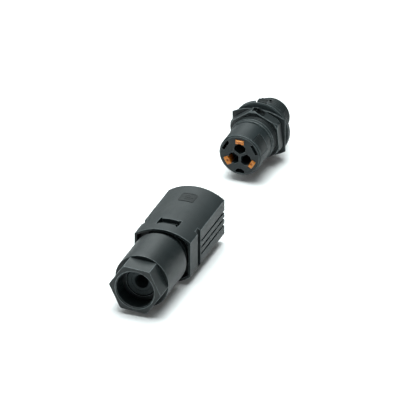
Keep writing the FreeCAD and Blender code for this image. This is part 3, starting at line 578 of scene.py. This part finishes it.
@dataclass(frozen=True)
class EdgeRounder:
    """Copies a node with its outer edges rounded, marked for scuffing and painted edge highlight, and kept
    inside the node's box.
    """

    radius: float
    steps: int = 2
    crease: float = math.radians(32)
    flat: float = math.radians(0.4)
    shading_break: float = math.radians(48)

    def copy_of(self, frame: PackedFrame, node: str, reshape: Reshape | None = None) -> bpy.types.Object:
        """Make the rounded piece that stands for a node.

        Args:
            frame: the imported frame.
            node: the node to copy.
            reshape: moves each corner before the edges are rounded.

        Returns:
            The finished piece, which rides and is dressed like its node.
        """
        mesh = frame.nodes[node].data.copy()
        work = bmesh.new()
        work.from_mesh(mesh)
        bmesh.ops.remove_doubles(work, verts=work.verts, dist=WELD)
        for corner in work.verts if reshape else ():
            corner.co = reshape(corner.co)
        bmesh.ops.dissolve_limit(work, angle_limit=self.flat, verts=work.verts, edges=work.edges)
        scuffed_and_highlit = work.faces.layers.float.new(SCUFF_HIGHLIGHT_EDGE)
        sharp = [e for e in work.edges if e.is_manifold and e.is_convex and e.calc_face_angle() > self.crease]
        made = bmesh.ops.bevel(work, geom=sharp, offset=self.radius, segments=self.steps, profile=0.5,
                               affect="EDGES", clamp_overlap=False, material=-1)
        # The bevel's faces take the edge mask, so they are painted in the lighter scuff and highlight colour.
        for face in made["faces"]:
            face[scuffed_and_highlit] = 1.0
        low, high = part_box(node)
        for corner in work.verts:
            corner.co = Vector(min(max(at, near), far) for at, near, far in zip(corner.co, low, high))
        for face in work.faces:
            face.smooth = True
        work.to_mesh(mesh)
        work.free()
        mesh.set_sharp_from_angle(angle=self.shading_break)
        mesh.materials.clear()
        mesh.materials.append(frame.finishes[frame.slot_of[node]])
        rough = bpy.data.objects.new("work", mesh)
        bpy.context.scene.collection.objects.link(rough)
        even = rough.modifiers.new("even shading", "WEIGHTED_NORMAL")
        even.keep_sharp = True
        piece = plain_mesh(rough, f"{node}.finished")
        frame.finish_piece(piece, node, stands_for=True)
        return piece


# ---- grown details ----------------------------------------------------------------------------
class Grower:
    """Runs a geometry node tree and lays its result in place as a plain mesh."""

    def __init__(self, tree: bpy.types.NodeTree) -> None:
        """Keep the tree that makes the detail.

        Args:
            tree: a geometry node tree whose output is real mesh with its material.
        """
        self.tree = tree

    def grow(self, name: str, place: Matrix, scuffed_and_highlit: float = 0.0, **values: Any) -> bpy.types.Object:
        """Make one detail.

        Args:
            name: the new object's name.
            place: where the tree's own axes go.
            scuffed_and_highlit: how strongly the whole detail takes the lighter edge colour, a painted
                highlight.
            **values: the tree's inputs, with underscores for spaces.

        Returns:
            A closed plain mesh with its place in its corners.
        """
        seed = bpy.data.objects.new("seed", bpy.data.meshes.new("seed"))
        bpy.context.scene.collection.objects.link(seed)
        grown = seed.modifiers.new("grown", "NODES")
        grown.node_group = self.tree
        for socket in self.tree.interface.items_tree:
            key = socket.name.replace(" ", "_")
            if socket.in_out == "INPUT" and key in values:
                grown[socket.identifier] = values[key]
        piece = plain_mesh(seed, name)
        piece.data.transform(place)
        work = bmesh.new()
        work.from_mesh(piece.data)
        bmesh.ops.remove_doubles(work, verts=work.verts, dist=FINE_WELD)
        bmesh.ops.recalc_face_normals(work, faces=work.faces)
        # A value above 0 paints the whole detail in the lighter edge colour, as a highlight.
        rubbed_and_highlit = work.faces.layers.float.new(SCUFF_HIGHLIGHT_EDGE)
        for face in work.faces:
            face.smooth = True
            face[rubbed_and_highlit] = scuffed_and_highlit
        work.to_mesh(piece.data)
        work.free()
        piece.data.set_sharp_from_angle(angle=math.radians(35))
        return piece


def ended(bench: NodeBench, shape: Any, given: bpy.types.Node, result: bpy.types.Node) -> bpy.types.NodeTree:
    """Close a geometry tree with real mesh and its material.

    Args:
        bench: the tree's bench.
        shape: the shape so far.
        given: the group's input node, which has a Finish input.
        result: the group's output node.

    Returns:
        The finished tree.
    """
    real = bench.add("GeometryNodeRealizeInstances", {"Geometry": shape}).outputs["Geometry"]
    dressed = bench.add("GeometryNodeSetMaterial", {"Geometry": real, "Material": given.outputs["Finish"]})
    bench.tree.links.new(dressed.outputs["Geometry"], result.inputs["Shape"])
    return bench.tree


def row_of(bench: NodeBench, shape: Any, given: bpy.types.Node) -> bpy.types.NodeSocket:
    """Repeat a shape in a row along X.

    Args:
        bench: the tree's bench.
        shape: the shape to repeat.
        given: the group's input node, which has Spacing and Count inputs.

    Returns:
        The row's instances.
    """
    step = bench.add("ShaderNodeCombineXYZ", {"X": given.outputs["Spacing"]})
    line = {"Count": given.outputs["Count"], "Offset": step.outputs[0]}
    row = bench.add("GeometryNodeMeshLine", line, mode="OFFSET")
    spots = {"Points": row.outputs["Mesh"], "Instance": shape}
    return bench.add("GeometryNodeInstanceOnPoints", spots).outputs["Instances"]


def thread_tree() -> bpy.types.NodeTree:
    """A screw thread's ridge, wound right-handed along X, cut flat below a given depth.

    Returns:
        The geometry node tree.
    """
    ports = {"Core Radius": Port.NUMBER, "Ridge": Port.NUMBER, "Foot": Port.NUMBER, "Crest": Port.NUMBER,
             "Turns": Port.NUMBER, "Length": Port.NUMBER, "Flat Depth": Port.NUMBER, "Finish": Port.MATERIAL}
    bench, given, result = group_tree("GeometryNodeTree", "Screw thread", ports, {"Shape": Port.SHAPE})
    have = given.outputs
    half = bench.maths("MULTIPLY", have["Ridge"], 0.5)
    middle = bench.maths("ADD", have["Core Radius"], bench.maths("MULTIPLY", have["Ridge"], 0.42))
    spiral = bench.add("GeometryNodeCurveSpiral", {
        "Resolution": 64, "Rotations": have["Turns"], "Start Radius": middle, "End Radius": middle,
        "Height": have["Length"], "Reverse": False})
    upright = bench.add("GeometryNodeSetCurveNormal", {"Curve": spiral.outputs[0]}, mode="Z_UP")
    section = bench.add("GeometryNodeCurvePrimitiveQuadrilateral", {
        "Height": bench.maths("ADD", have["Ridge"], bench.maths("MULTIPLY", half, 0.3)),
        "Bottom Width": have["Foot"], "Top Width": have["Crest"], "Offset": 0.0}, mode="TRAPEZOID")
    turned = bench.add("GeometryNodeTransform", {
        "Geometry": section.outputs["Curve"], "Rotation": (0.0, 0.0, math.pi / 2)})
    ridge = bench.add("GeometryNodeCurveToMesh", {
        "Curve": upright.outputs[0], "Profile Curve": turned.outputs["Geometry"], "Fill Caps": True})
    along = bench.add("GeometryNodeTransform", {
        "Geometry": ridge.outputs["Mesh"], "Rotation": (0.0, math.pi / 2, 0.0)})
    spot = bench.add("ShaderNodeSeparateXYZ", {0: bench.add("GeometryNodeInputPosition").outputs[0]})
    low = bench.maths("MULTIPLY", have["Flat Depth"], -1.0)
    raised = bench.maths("MAXIMUM", spot.outputs["Z"], low)
    cut = bench.add("ShaderNodeCombineXYZ", {"X": spot.outputs["X"], "Y": spot.outputs["Y"], "Z": raised})
    flat = bench.add("GeometryNodeSetPosition", {
        "Geometry": along.outputs["Geometry"], "Position": cut.outputs[0]})
    return ended(bench, flat.outputs["Geometry"], given, result)


def bead_tree() -> bpy.types.NodeTree:
    """A row of round beads about the X axis.

    Returns:
        The geometry node tree.
    """
    ports = {"Ring Radius": Port.NUMBER, "Bead Radius": Port.NUMBER, "Spacing": Port.NUMBER,
             "Count": Port.WHOLE, "Finish": Port.MATERIAL}
    bench, given, result = group_tree("GeometryNodeTree", "Row of beads", ports, {"Shape": Port.SHAPE})
    have = given.outputs
    ring = bench.add("GeometryNodeCurvePrimitiveCircle", {"Resolution": 96, "Radius": have["Ring Radius"]})
    section = bench.add("GeometryNodeCurvePrimitiveCircle", {"Resolution": 10, "Radius": have["Bead Radius"]})
    bead = bench.add("GeometryNodeCurveToMesh", {
        "Curve": ring.outputs["Curve"], "Profile Curve": section.outputs["Curve"]})
    upright = bench.add("GeometryNodeTransform", {
        "Geometry": bead.outputs["Mesh"], "Rotation": (0.0, math.pi / 2, 0.0)})
    return ended(bench, row_of(bench, upright.outputs["Geometry"], given), given, result)


def rib_tree() -> bpy.types.NodeTree:
    """A row of rounded bars across the X axis.

    Returns:
        The geometry node tree.
    """
    ports = {"Rib Radius": Port.NUMBER, "Rib Length": Port.NUMBER, "Spacing": Port.NUMBER,
             "Count": Port.WHOLE, "Finish": Port.MATERIAL}
    bench, given, result = group_tree("GeometryNodeTree", "Row of ribs", ports, {"Shape": Port.SHAPE})
    have = given.outputs
    bar = bench.add("GeometryNodeMeshCylinder", {
        "Vertices": 16, "Radius": have["Rib Radius"], "Depth": have["Rib Length"]})
    across = bench.add("GeometryNodeTransform", {
        "Geometry": bar.outputs["Mesh"], "Rotation": (math.pi / 2, 0.0, 0.0)})
    return ended(bench, row_of(bench, across.outputs["Geometry"], given), given, result)


def mark_tree() -> bpy.types.NodeTree:
    """A thin square plate with a raised frame, ring and bar, laid on a dome that bends across Y.

    Returns:
        The geometry node tree.
    """
    ports = {"Side": Port.NUMBER, "Corner": Port.NUMBER, "Ring Radius": Port.NUMBER, "Line": Port.NUMBER,
             "Relief": Port.NUMBER, "Dome Radius": Port.NUMBER, "Finish": Port.MATERIAL}
    bench, given, result = group_tree("GeometryNodeTree", "Raised mark", ports, {"Shape": Port.SHAPE})
    have = given.outputs
    square = bench.add("GeometryNodeCurvePrimitiveQuadrilateral", {
        "Width": have["Side"], "Height": have["Side"]})
    rounding = {"Curve": square.outputs["Curve"], "Radius": have["Corner"], "Count": 6}
    frame = bench.add("GeometryNodeFilletCurve", rounding, mode="POLY")
    ring = bench.add("GeometryNodeCurvePrimitiveCircle", {"Resolution": 48, "Radius": have["Ring Radius"]})
    reach = bench.maths("MULTIPLY", have["Side"], 0.36)
    start = bench.add("ShaderNodeCombineXYZ", {"Y": bench.maths("MULTIPLY", reach, -1.0)})
    end = bench.add("ShaderNodeCombineXYZ", {"Y": reach})
    bar = bench.add("GeometryNodeCurvePrimitiveLine", {"Start": start.outputs[0], "End": end.outputs[0]})
    lines = bench.add("GeometryNodeJoinGeometry")
    for curve in (frame.outputs["Curve"], ring.outputs["Curve"], bar.outputs["Curve"]):
        bench.tree.links.new(curve, lines.inputs["Geometry"])
    steps = {"Curve": lines.outputs["Geometry"], "Length": 0.35 * MM}
    fine = bench.add("GeometryNodeResampleCurve", steps, mode="LENGTH")
    upright = bench.add("GeometryNodeSetCurveNormal", {"Curve": fine.outputs["Curve"]}, mode="Z_UP")
    section = bench.add("GeometryNodeCurvePrimitiveQuadrilateral", {
        "Width": have["Line"], "Height": have["Relief"]})
    strip = bench.add("GeometryNodeCurveToMesh", {
        "Curve": upright.outputs["Curve"], "Profile Curve": section.outputs["Curve"], "Fill Caps": True})
    size = bench.add("ShaderNodeCombineXYZ", {
        "X": have["Side"], "Y": have["Side"], "Z": bench.maths("MULTIPLY", have["Relief"], 0.5)})
    plate = bench.add("GeometryNodeMeshCube", {
        "Size": size.outputs[0], "Vertices X": 2, "Vertices Y": 24, "Vertices Z": 2})
    both = bench.add("GeometryNodeJoinGeometry")
    for part in (strip.outputs["Mesh"], plate.outputs["Mesh"]):
        bench.tree.links.new(part, both.inputs["Geometry"])
    spot = bench.add("ShaderNodeSeparateXYZ", {0: bench.add("GeometryNodeInputPosition").outputs[0]})
    across = bench.maths("POWER", spot.outputs["Y"], 2.0)
    inside = bench.maths("SUBTRACT", bench.maths("POWER", have["Dome Radius"], 2.0), across)
    drop = bench.maths("SUBTRACT", bench.maths("SQRT", inside), have["Dome Radius"])
    lift = bench.add("ShaderNodeCombineXYZ", {"Z": drop})
    laid = bench.add("GeometryNodeSetPosition", {
        "Geometry": both.outputs["Geometry"], "Offset": lift.outputs[0]})
    return ended(bench, laid.outputs["Geometry"], given, result)


@dataclass(frozen=True)
class Growers:
    """The growers of the small repeated details."""

    thread: Grower
    beads: Grower
    ribs: Grower
    mark: Grower

    @classmethod
    def build(cls) -> "Growers":
        """Build each tree once."""
        return cls(Grower(thread_tree()), Grower(bead_tree()), Grower(rib_tree()), Grower(mark_tree()))


def middle_of(node: str) -> Vector:
    """The middle of a node's box at rest."""
    low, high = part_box(node)
    return (low + high) / 2


def core_reshape(axis: Vector, start: float, end: float, outer: float, core: float) -> Reshape:
    """A reshape that thins a threaded tube down to its thread's core.

    Args:
        axis: a point on the tube's axis, which runs along X.
        start: where the tube starts.
        end: where it ends.
        outer: radius outside the thread.
        core: radius at the thread's root.

    Returns:
        The function that moves a corner.
    """
    def move(corner: Vector) -> Vector:
        """Pull a corner on the thread's outside in to its core.

        Args:
            corner: the corner's place.

        Returns:
            Its new place.
        """
        away = Vector((0.0, corner.y - axis.y, corner.z - axis.z))
        if start < corner.x < end and away.length > outer - 0.05 * MM:
            pulled = axis + away * (core / away.length)
            return Vector((corner.x, pulled.y, pulled.z))
        return corner
    return move


# ---- cable half -------------------------------------------------------------------------------
@dataclass
class CableHalf:
    """The cable half: gland nut with its seal, gland body, and domed locking sleeve."""

    frame: PackedFrame
    growers: Growers
    nut_edge: float = 0.3 * MM
    sleeve_edge: float = 0.35 * MM
    small_edge: float = 0.12 * MM
    seal_lip_radius: float = 0.55 * MM
    seal_lip_in: float = 0.1 * MM
    seal_lip_out: float = 0.3 * MM
    thread_foot: float = 1.5 * MM
    thread_crest: float = 0.5 * MM
    thread_margin: float = 1.0 * MM
    neck_radius: float = 14.85 * MM
    neck_core: float = 14.2 * MM
    neck_pitch: float = 2.0 * MM
    skirt_setback: float = 1.7 * MM
    dome_rise: float = 6.2 * MM
    mark_side: float = 9.5 * MM
    mark_from_end: float = 15.5 * MM
    mark_relief: float = 0.5 * MM
    mark_corner: float = 1.2 * MM
    mark_ring: float = 2.2 * MM
    mark_line: float = 0.8 * MM
    plain_nodes: tuple[str, ...] = ("body_oring", "gland_cage", "gland_thrust_ring", "cable_carrier")
    small_nodes: tuple[str, ...] = ("socket_carrier", "socket_boss")

    def build(self) -> None:
        """Build and dress every piece of the cable half."""
        self.gland()
        self.body()
        self.sleeve()
        self.inside()

    def gland(self) -> None:
        """The gland nut and the two grommets seen in its mouth."""
        EdgeRounder(self.nut_edge).copy_of(self.frame, "gland_nut")
        for node in ("gland_seal_outer", "gland_seal_inner"):
            EdgeRounder(2 * self.small_edge).copy_of(self.frame, node)
        low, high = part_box("gland_seal_inner")
        centre = middle_of("gland_seal_inner")
        lip = self.growers.beads.grow(
            "gland_seal_lips", Matrix.Translation((low.x + self.seal_lip_in, centre.y, centre.z)),
            Ring_Radius=(high.y - low.y) / 2 + self.seal_lip_out, Bead_Radius=self.seal_lip_radius,
            Spacing=0.0, Count=1, Finish=self.frame.finishes[Slot.SEAL])
        self.frame.finish_piece(lip, "gland_seal_inner")

    def body(self) -> None:
        """The gland body with the thread on its neck, and its snap tab."""
        low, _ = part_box("gland_body")
        axis = middle_of("gland_seal_outer")
        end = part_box("sleeve")[0].x + self.skirt_setback
        thin = core_reshape(axis, low.x - MM, end - 0.05 * MM, self.neck_radius, self.neck_core)
        EdgeRounder(self.small_edge).copy_of(self.frame, "gland_body", thin)
        start = low.x + self.thread_margin
        run = end - self.thread_margin - start
        ridge = self.neck_radius - self.neck_core
        thread = self.growers.thread.grow(
            "gland_body_thread", Matrix.Translation((start, axis.y, axis.z)), Core_Radius=self.neck_core,
            Ridge=ridge, Foot=self.thread_foot, Crest=self.thread_crest, Turns=run / self.neck_pitch,
            Length=run, Flat_Depth=2 * self.neck_radius, Finish=self.frame.finishes[Slot.HOUSING])
        self.frame.finish_piece(thread, "gland_body")
        EdgeRounder(self.small_edge).copy_of(self.frame, "body_snap_tab")

    def sleeve(self) -> None:
        """The domed sleeve, with a plain raised mark on its top."""
        EdgeRounder(self.sleeve_edge).copy_of(self.frame, "sleeve")
        low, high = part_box("sleeve")
        half = (high.y - low.y) / 2
        dome = (half ** 2 + self.dome_rise ** 2) / (2 * self.dome_rise)
        place = Matrix.Translation((high.x - self.mark_from_end, 0.0, high.z))
        mark = self.growers.mark.grow(
            "sleeve_mark", place, Side=self.mark_side, Corner=self.mark_corner, Ring_Radius=self.mark_ring,
            Line=self.mark_line, Relief=self.mark_relief, Dome_Radius=dome,
            Finish=self.frame.finishes[Slot.SMALL_PART])
        self.frame.finish_piece(mark, "sleeve", slot=Slot.SMALL_PART)

    def inside(self) -> None:
        """The carriers, contacts, pushers and springs."""
        for node in self.small_nodes:
            EdgeRounder(2 * self.small_edge).copy_of(self.frame, node)
        for number in (1, 2, 3):
            EdgeRounder(self.small_edge).copy_of(self.frame, f"socket_contact_{number}")
            self.frame.dress(f"cable_pusher_{number}")
            self.frame.dress(f"cable_clamp_spring_{number}")
        for node in self.plain_nodes:
            self.frame.dress(node)


# ---- panel half -------------------------------------------------------------------------------
@dataclass
class PanelHalf:
    """The panel half: conductor carrier, threaded housing with its nut and plate, plug and latch."""

    frame: PackedFrame
    growers: Growers
    nut_edge: float = 0.35 * MM
    housing_edge: float = 0.25 * MM
    carrier_edge: float = 0.15 * MM
    small_edge: float = 0.12 * MM
    thread_radius: float = 14.6 * MM
    thread_core: float = 14.0 * MM
    thread_pitch: float = 1.5 * MM
    thread_flat: float = 13.7 * MM
    plug_radius: float = 11.6 * MM
    bead_radius: float = 0.25 * MM
    bead_gap: float = 1.7 * MM
    lip_radius: float = 0.5 * MM
    lip_gap: float = 2.4 * MM
    # Share of the lighter edge colour on the housing lips, painted as highlights along their crests.
    lip_wear: float = 0.6
    thread_foot: float = 1.15 * MM
    thread_crest: float = 0.35 * MM
    thread_margin: float = 0.9 * MM
    bead_start: float = 1.4 * MM
    bead_margin: float = 0.8 * MM
    pad_rib: float = 0.25 * MM
    pad_rib_gap: float = 0.8 * MM
    pad_rib_start: float = 1.4 * MM
    pad_rib_share: float = 0.86
    press_rib_share: float = 0.62
    press_lip_share: float = 0.8
    press_lip_out: float = 0.36
    press_rib: float = 0.4 * MM
    press_gap: float = 3.2 * MM
    plain_nodes: tuple[str, ...] = ("plug_oring", "pin_carrier", "latch_pin", "latch_spring")

    def build(self) -> None:
        """Build and dress every piece of the panel half."""
        self.housing()
        self.fixings()
        self.latch()
        self.insert()

    def housing(self) -> None:
        """The housing with its thread, and the beads round its plug."""
        low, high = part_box("panel_housing")
        axis = middle_of("panel_carrier")
        tube_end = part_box("flange_gasket")[0].x
        thin = core_reshape(axis, low.x - MM, tube_end + 0.05 * MM, self.thread_radius, self.thread_core)
        EdgeRounder(self.housing_edge).copy_of(self.frame, "panel_housing", thin)
        # The lips take the lighter edge colour in part: painted highlights along them.
        lips = self.growers.beads.grow(
            "panel_housing_lips", Matrix.Translation((low.x + self.lip_radius, axis.y, axis.z)),
            scuffed_and_highlit=self.lip_wear, Ring_Radius=self.thread_radius - self.lip_radius,
            Bead_Radius=self.lip_radius, Spacing=self.lip_gap, Count=2, Finish=self.frame.finishes[Slot.NUT])
        self.frame.finish_piece(lips, "panel_housing", slot=Slot.NUT)
        start = low.x + self.lip_gap + 3 * self.lip_radius
        run = tube_end - self.thread_margin - start
        thread = self.growers.thread.grow(
            "panel_housing_thread", Matrix.Translation((start, axis.y, axis.z)), Core_Radius=self.thread_core,
            Ridge=self.thread_radius - self.thread_core, Foot=self.thread_foot, Crest=self.thread_crest,
            Turns=run / self.thread_pitch, Length=run, Flat_Depth=self.thread_flat,
            Finish=self.frame.finishes[Slot.HOUSING])
        self.frame.finish_piece(thread, "panel_housing")
        seal_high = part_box("plug_oring")[1]
        first = seal_high.x + self.bead_start
        count = int((high.x - self.bead_margin - first) / self.bead_gap) + 1
        beads = self.growers.beads.grow(
            "plug_beads", Matrix.Translation((first, axis.y, axis.z)), Ring_Radius=self.plug_radius,
            Bead_Radius=self.bead_radius, Spacing=self.bead_gap, Count=count,
            Finish=self.frame.finishes[Slot.HOUSING])
        self.frame.finish_piece(beads, "panel_housing")

    def fixings(self) -> None:
        """The lock nut, pressure plate and gasket."""
        EdgeRounder(self.nut_edge).copy_of(self.frame, "lock_nut")
        EdgeRounder(self.housing_edge).copy_of(self.frame, "pressure_plate")
        EdgeRounder(self.small_edge).copy_of(self.frame, "flange_gasket")

    def latch(self) -> None:
        """The latch lever with grip ribs on its pad."""
        EdgeRounder(self.housing_edge).copy_of(self.frame, "latch_lever")
        low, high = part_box("latch_lever")
        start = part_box("latch_pin")[1].x
        ribs = self.growers.ribs.grow(
            "latch_ribs", Matrix.Translation((start + self.pad_rib_start, 0.0, high.z)),
            Rib_Radius=self.pad_rib, Rib_Length=(high.y - low.y) * self.pad_rib_share,
            Spacing=self.pad_rib_gap, Count=4, Finish=self.frame.finishes[Slot.SMALL_PART])
        self.frame.finish_piece(ribs, "latch_lever")

    def insert(self) -> None:
        """The conductor carrier with its pushers, snap tabs, contacts and springs."""
        EdgeRounder(self.carrier_edge).copy_of(self.frame, "panel_carrier")
        for side in ("right", "left"):
            EdgeRounder(self.small_edge).copy_of(self.frame, f"carrier_snap_tab_{side}")
        for number in (1, 2, 3):
            EdgeRounder(self.small_edge).copy_of(self.frame, f"pin_contact_{number}")
            EdgeRounder(2 * self.small_edge).copy_of(self.frame, f"panel_pusher_{number}")
            self.pusher_ribs(number)
            self.frame.dress(f"panel_clamp_spring_{number}")
        for node in self.plain_nodes:
            self.frame.dress(node)


    def pusher_ribs(self, number: int) -> None:
        """Raise two press ribs and an outer lip on the end of a release pusher, painted in the lighter edge
        colour as highlights.

        Args:
            number: which pusher.
        """
        node = f"panel_pusher_{number}"
        low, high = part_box("panel_pusher_1")
        width, depth = high.y - low.y, high.z - low.z
        middle, axis = middle_of(node), middle_of("panel_carrier")
        out = Vector((0.0, middle.y - axis.y, middle.z - axis.z)).normalized()
        side = out.cross(Vector((1.0, 0.0, 0.0)))
        turn = Matrix((side, out, Vector((1.0, 0.0, 0.0)))).transposed().to_4x4()
        end = Vector((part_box(node)[0].x, middle.y, middle.z))
        # Ribs and lip take the lighter edge colour, painted highlights that make them read as lit lines.
        ribs = self.growers.ribs.grow(
            f"{node}_ribs", Matrix.Translation(end - side * self.press_gap / 2) @ turn, scuffed_and_highlit=0.7,
            Rib_Radius=self.press_rib, Rib_Length=self.press_rib_share * depth,
            Spacing=self.press_gap, Count=2, Finish=self.frame.finishes[Slot.ORANGE])
        lip_turn = Matrix((-out, side, Vector((1.0, 0.0, 0.0)))).transposed().to_4x4()
        lip = self.growers.ribs.grow(
            f"{node}_lip", Matrix.Translation(end + out * self.press_lip_out * depth) @ lip_turn, scuffed_and_highlit=1.0,
            Rib_Radius=self.press_rib * 0.8, Rib_Length=self.press_lip_share * width, Spacing=0.0, Count=1,
            Finish=self.frame.finishes[Slot.ORANGE])
        for piece in (ribs, lip):
            self.frame.finish_piece(piece, node)


# ---- studio -----------------------------------------------------------------------------------
@dataclass(frozen=True)
class Softbox:
    """A rectangular studio light that faces the object."""

    name: str
    place: tuple[float, float, float]
    size: tuple[float, float]
    power: float
    colour: Colour = (0.92, 1.0, 1.0)

    def hang(self, aim: Vector) -> None:
        """Hang the light.

        Args:
            aim: the point it faces.
        """
        lamp = bpy.data.lights.new(self.name, "AREA")
        lamp.shape = "RECTANGLE"
        lamp.size, lamp.size_y = self.size
        lamp.energy = self.power
        lamp.color = self.colour
        light = bpy.data.objects.new(self.name, lamp)
        light.location = self.place
        light.rotation_euler = (aim - light.location).to_track_quat("-Z", "Y").to_euler()
        bpy.context.scene.collection.objects.link(light)


@dataclass(frozen=True)
class Studio:
    """A white floor, soft light and the camera."""

    azimuth: float = math.radians(-69.4)
    elevation: float = math.radians(28.5)
    distance: float = 10.0
    view_width: float = 0.249
    aim: tuple[float, float, float] = (-7.7 * MM, 0.0, 23.2 * MM)
    floor_size: float = 4.0
    daylight: float = 0.055
    floor_glow: float = 0.045
    lights: tuple[Softbox, ...] = field(default=(
        Softbox("Top softbox", (0.05, 0.06, 1.05), (0.9, 0.9), 23.0),
        Softbox("Far softbox", (1.2, 0.6, 0.8), (1.0, 0.7), 8.0),
        Softbox("Front softbox", (-1.2, 0.1, 0.7), (0.6, 0.6), 1.0),
    ))

    def build(self) -> None:
        """Set the floor, the lights, the sky and the camera."""
        self.floor()
        self.sky()
        for softbox in self.lights:
            softbox.hang(Vector(self.aim))
        self.camera()
        bpy.context.scene.view_settings.view_transform = "Standard"

    def floor(self) -> None:
        """The plain pale floor."""
        half = self.floor_size / 2
        mesh = bpy.data.meshes.new("studio_floor")
        corners = [(-half, -half, -0.05 * MM), (half, -half, -0.05 * MM), (half, half, -0.05 * MM),
                   (-half, half, -0.05 * MM)]
        mesh.from_pydata(corners, [], [(0, 1, 2, 3)])
        dress = Dressing("Studio paper")
        tone = dress.bench.ramp(dress.bench.noise(dress.place, 30.0), 0.3, 0.7, 0.98, 1.0)
        dress.colour((0.9, 0.9, 0.9), tone, (0.9, 0.9, 0.9), 0.0)
        dress.shader.inputs["Roughness"].default_value = 0.9
        dress.shader.inputs["Specular IOR Level"].default_value = 0.1
        dress.shader.inputs["Emission Color"].default_value = (1.0, 1.0, 1.0, 1.0)
        dress.shader.inputs["Emission Strength"].default_value = self.floor_glow
        mesh.materials.append(dress.material)
        floor = bpy.data.objects.new("studio_floor", mesh)
        bpy.context.scene.collection.objects.link(floor)

    def sky(self) -> None:
        """Even white light from all round."""
        world = bpy.data.worlds.new("Studio light")
        world.use_nodes = True
        backdrop = world.node_tree.nodes["Background"]
        backdrop.inputs["Color"].default_value = (1.0, 1.0, 1.0, 1.0)
        backdrop.inputs["Strength"].default_value = self.daylight
        bpy.context.scene.world = world

    def camera(self) -> None:
        """The camera, on a long lens and with no shift."""
        lens = bpy.data.cameras.new("camera")
        lens.lens = lens.sensor_width * self.distance / self.view_width
        camera = bpy.data.objects.new("camera", lens)
        aim = Vector(self.aim)
        level = math.cos(self.elevation)
        east, north = level * math.sin(self.azimuth), -level * math.cos(self.azimuth)
        back = Vector((east, north, math.sin(self.elevation)))
        camera.location = aim + self.distance * back
        camera.rotation_euler = back.to_track_quat("Z", "Y").to_euler()
        bpy.context.scene.collection.objects.link(camera)
        bpy.context.scene.camera = camera


def main() -> None:
    """Load the frame, build both halves and set the studio."""
    logging.basicConfig(level=logging.INFO, format="%(name)s: %(message)s")
    frame = PackedFrame.load()
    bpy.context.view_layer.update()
    growers = Growers.build()
    CableHalf(frame, growers).build()
    PanelHalf(frame, growers).build()
    Studio().build()


if __name__ == "__main__":
    main()
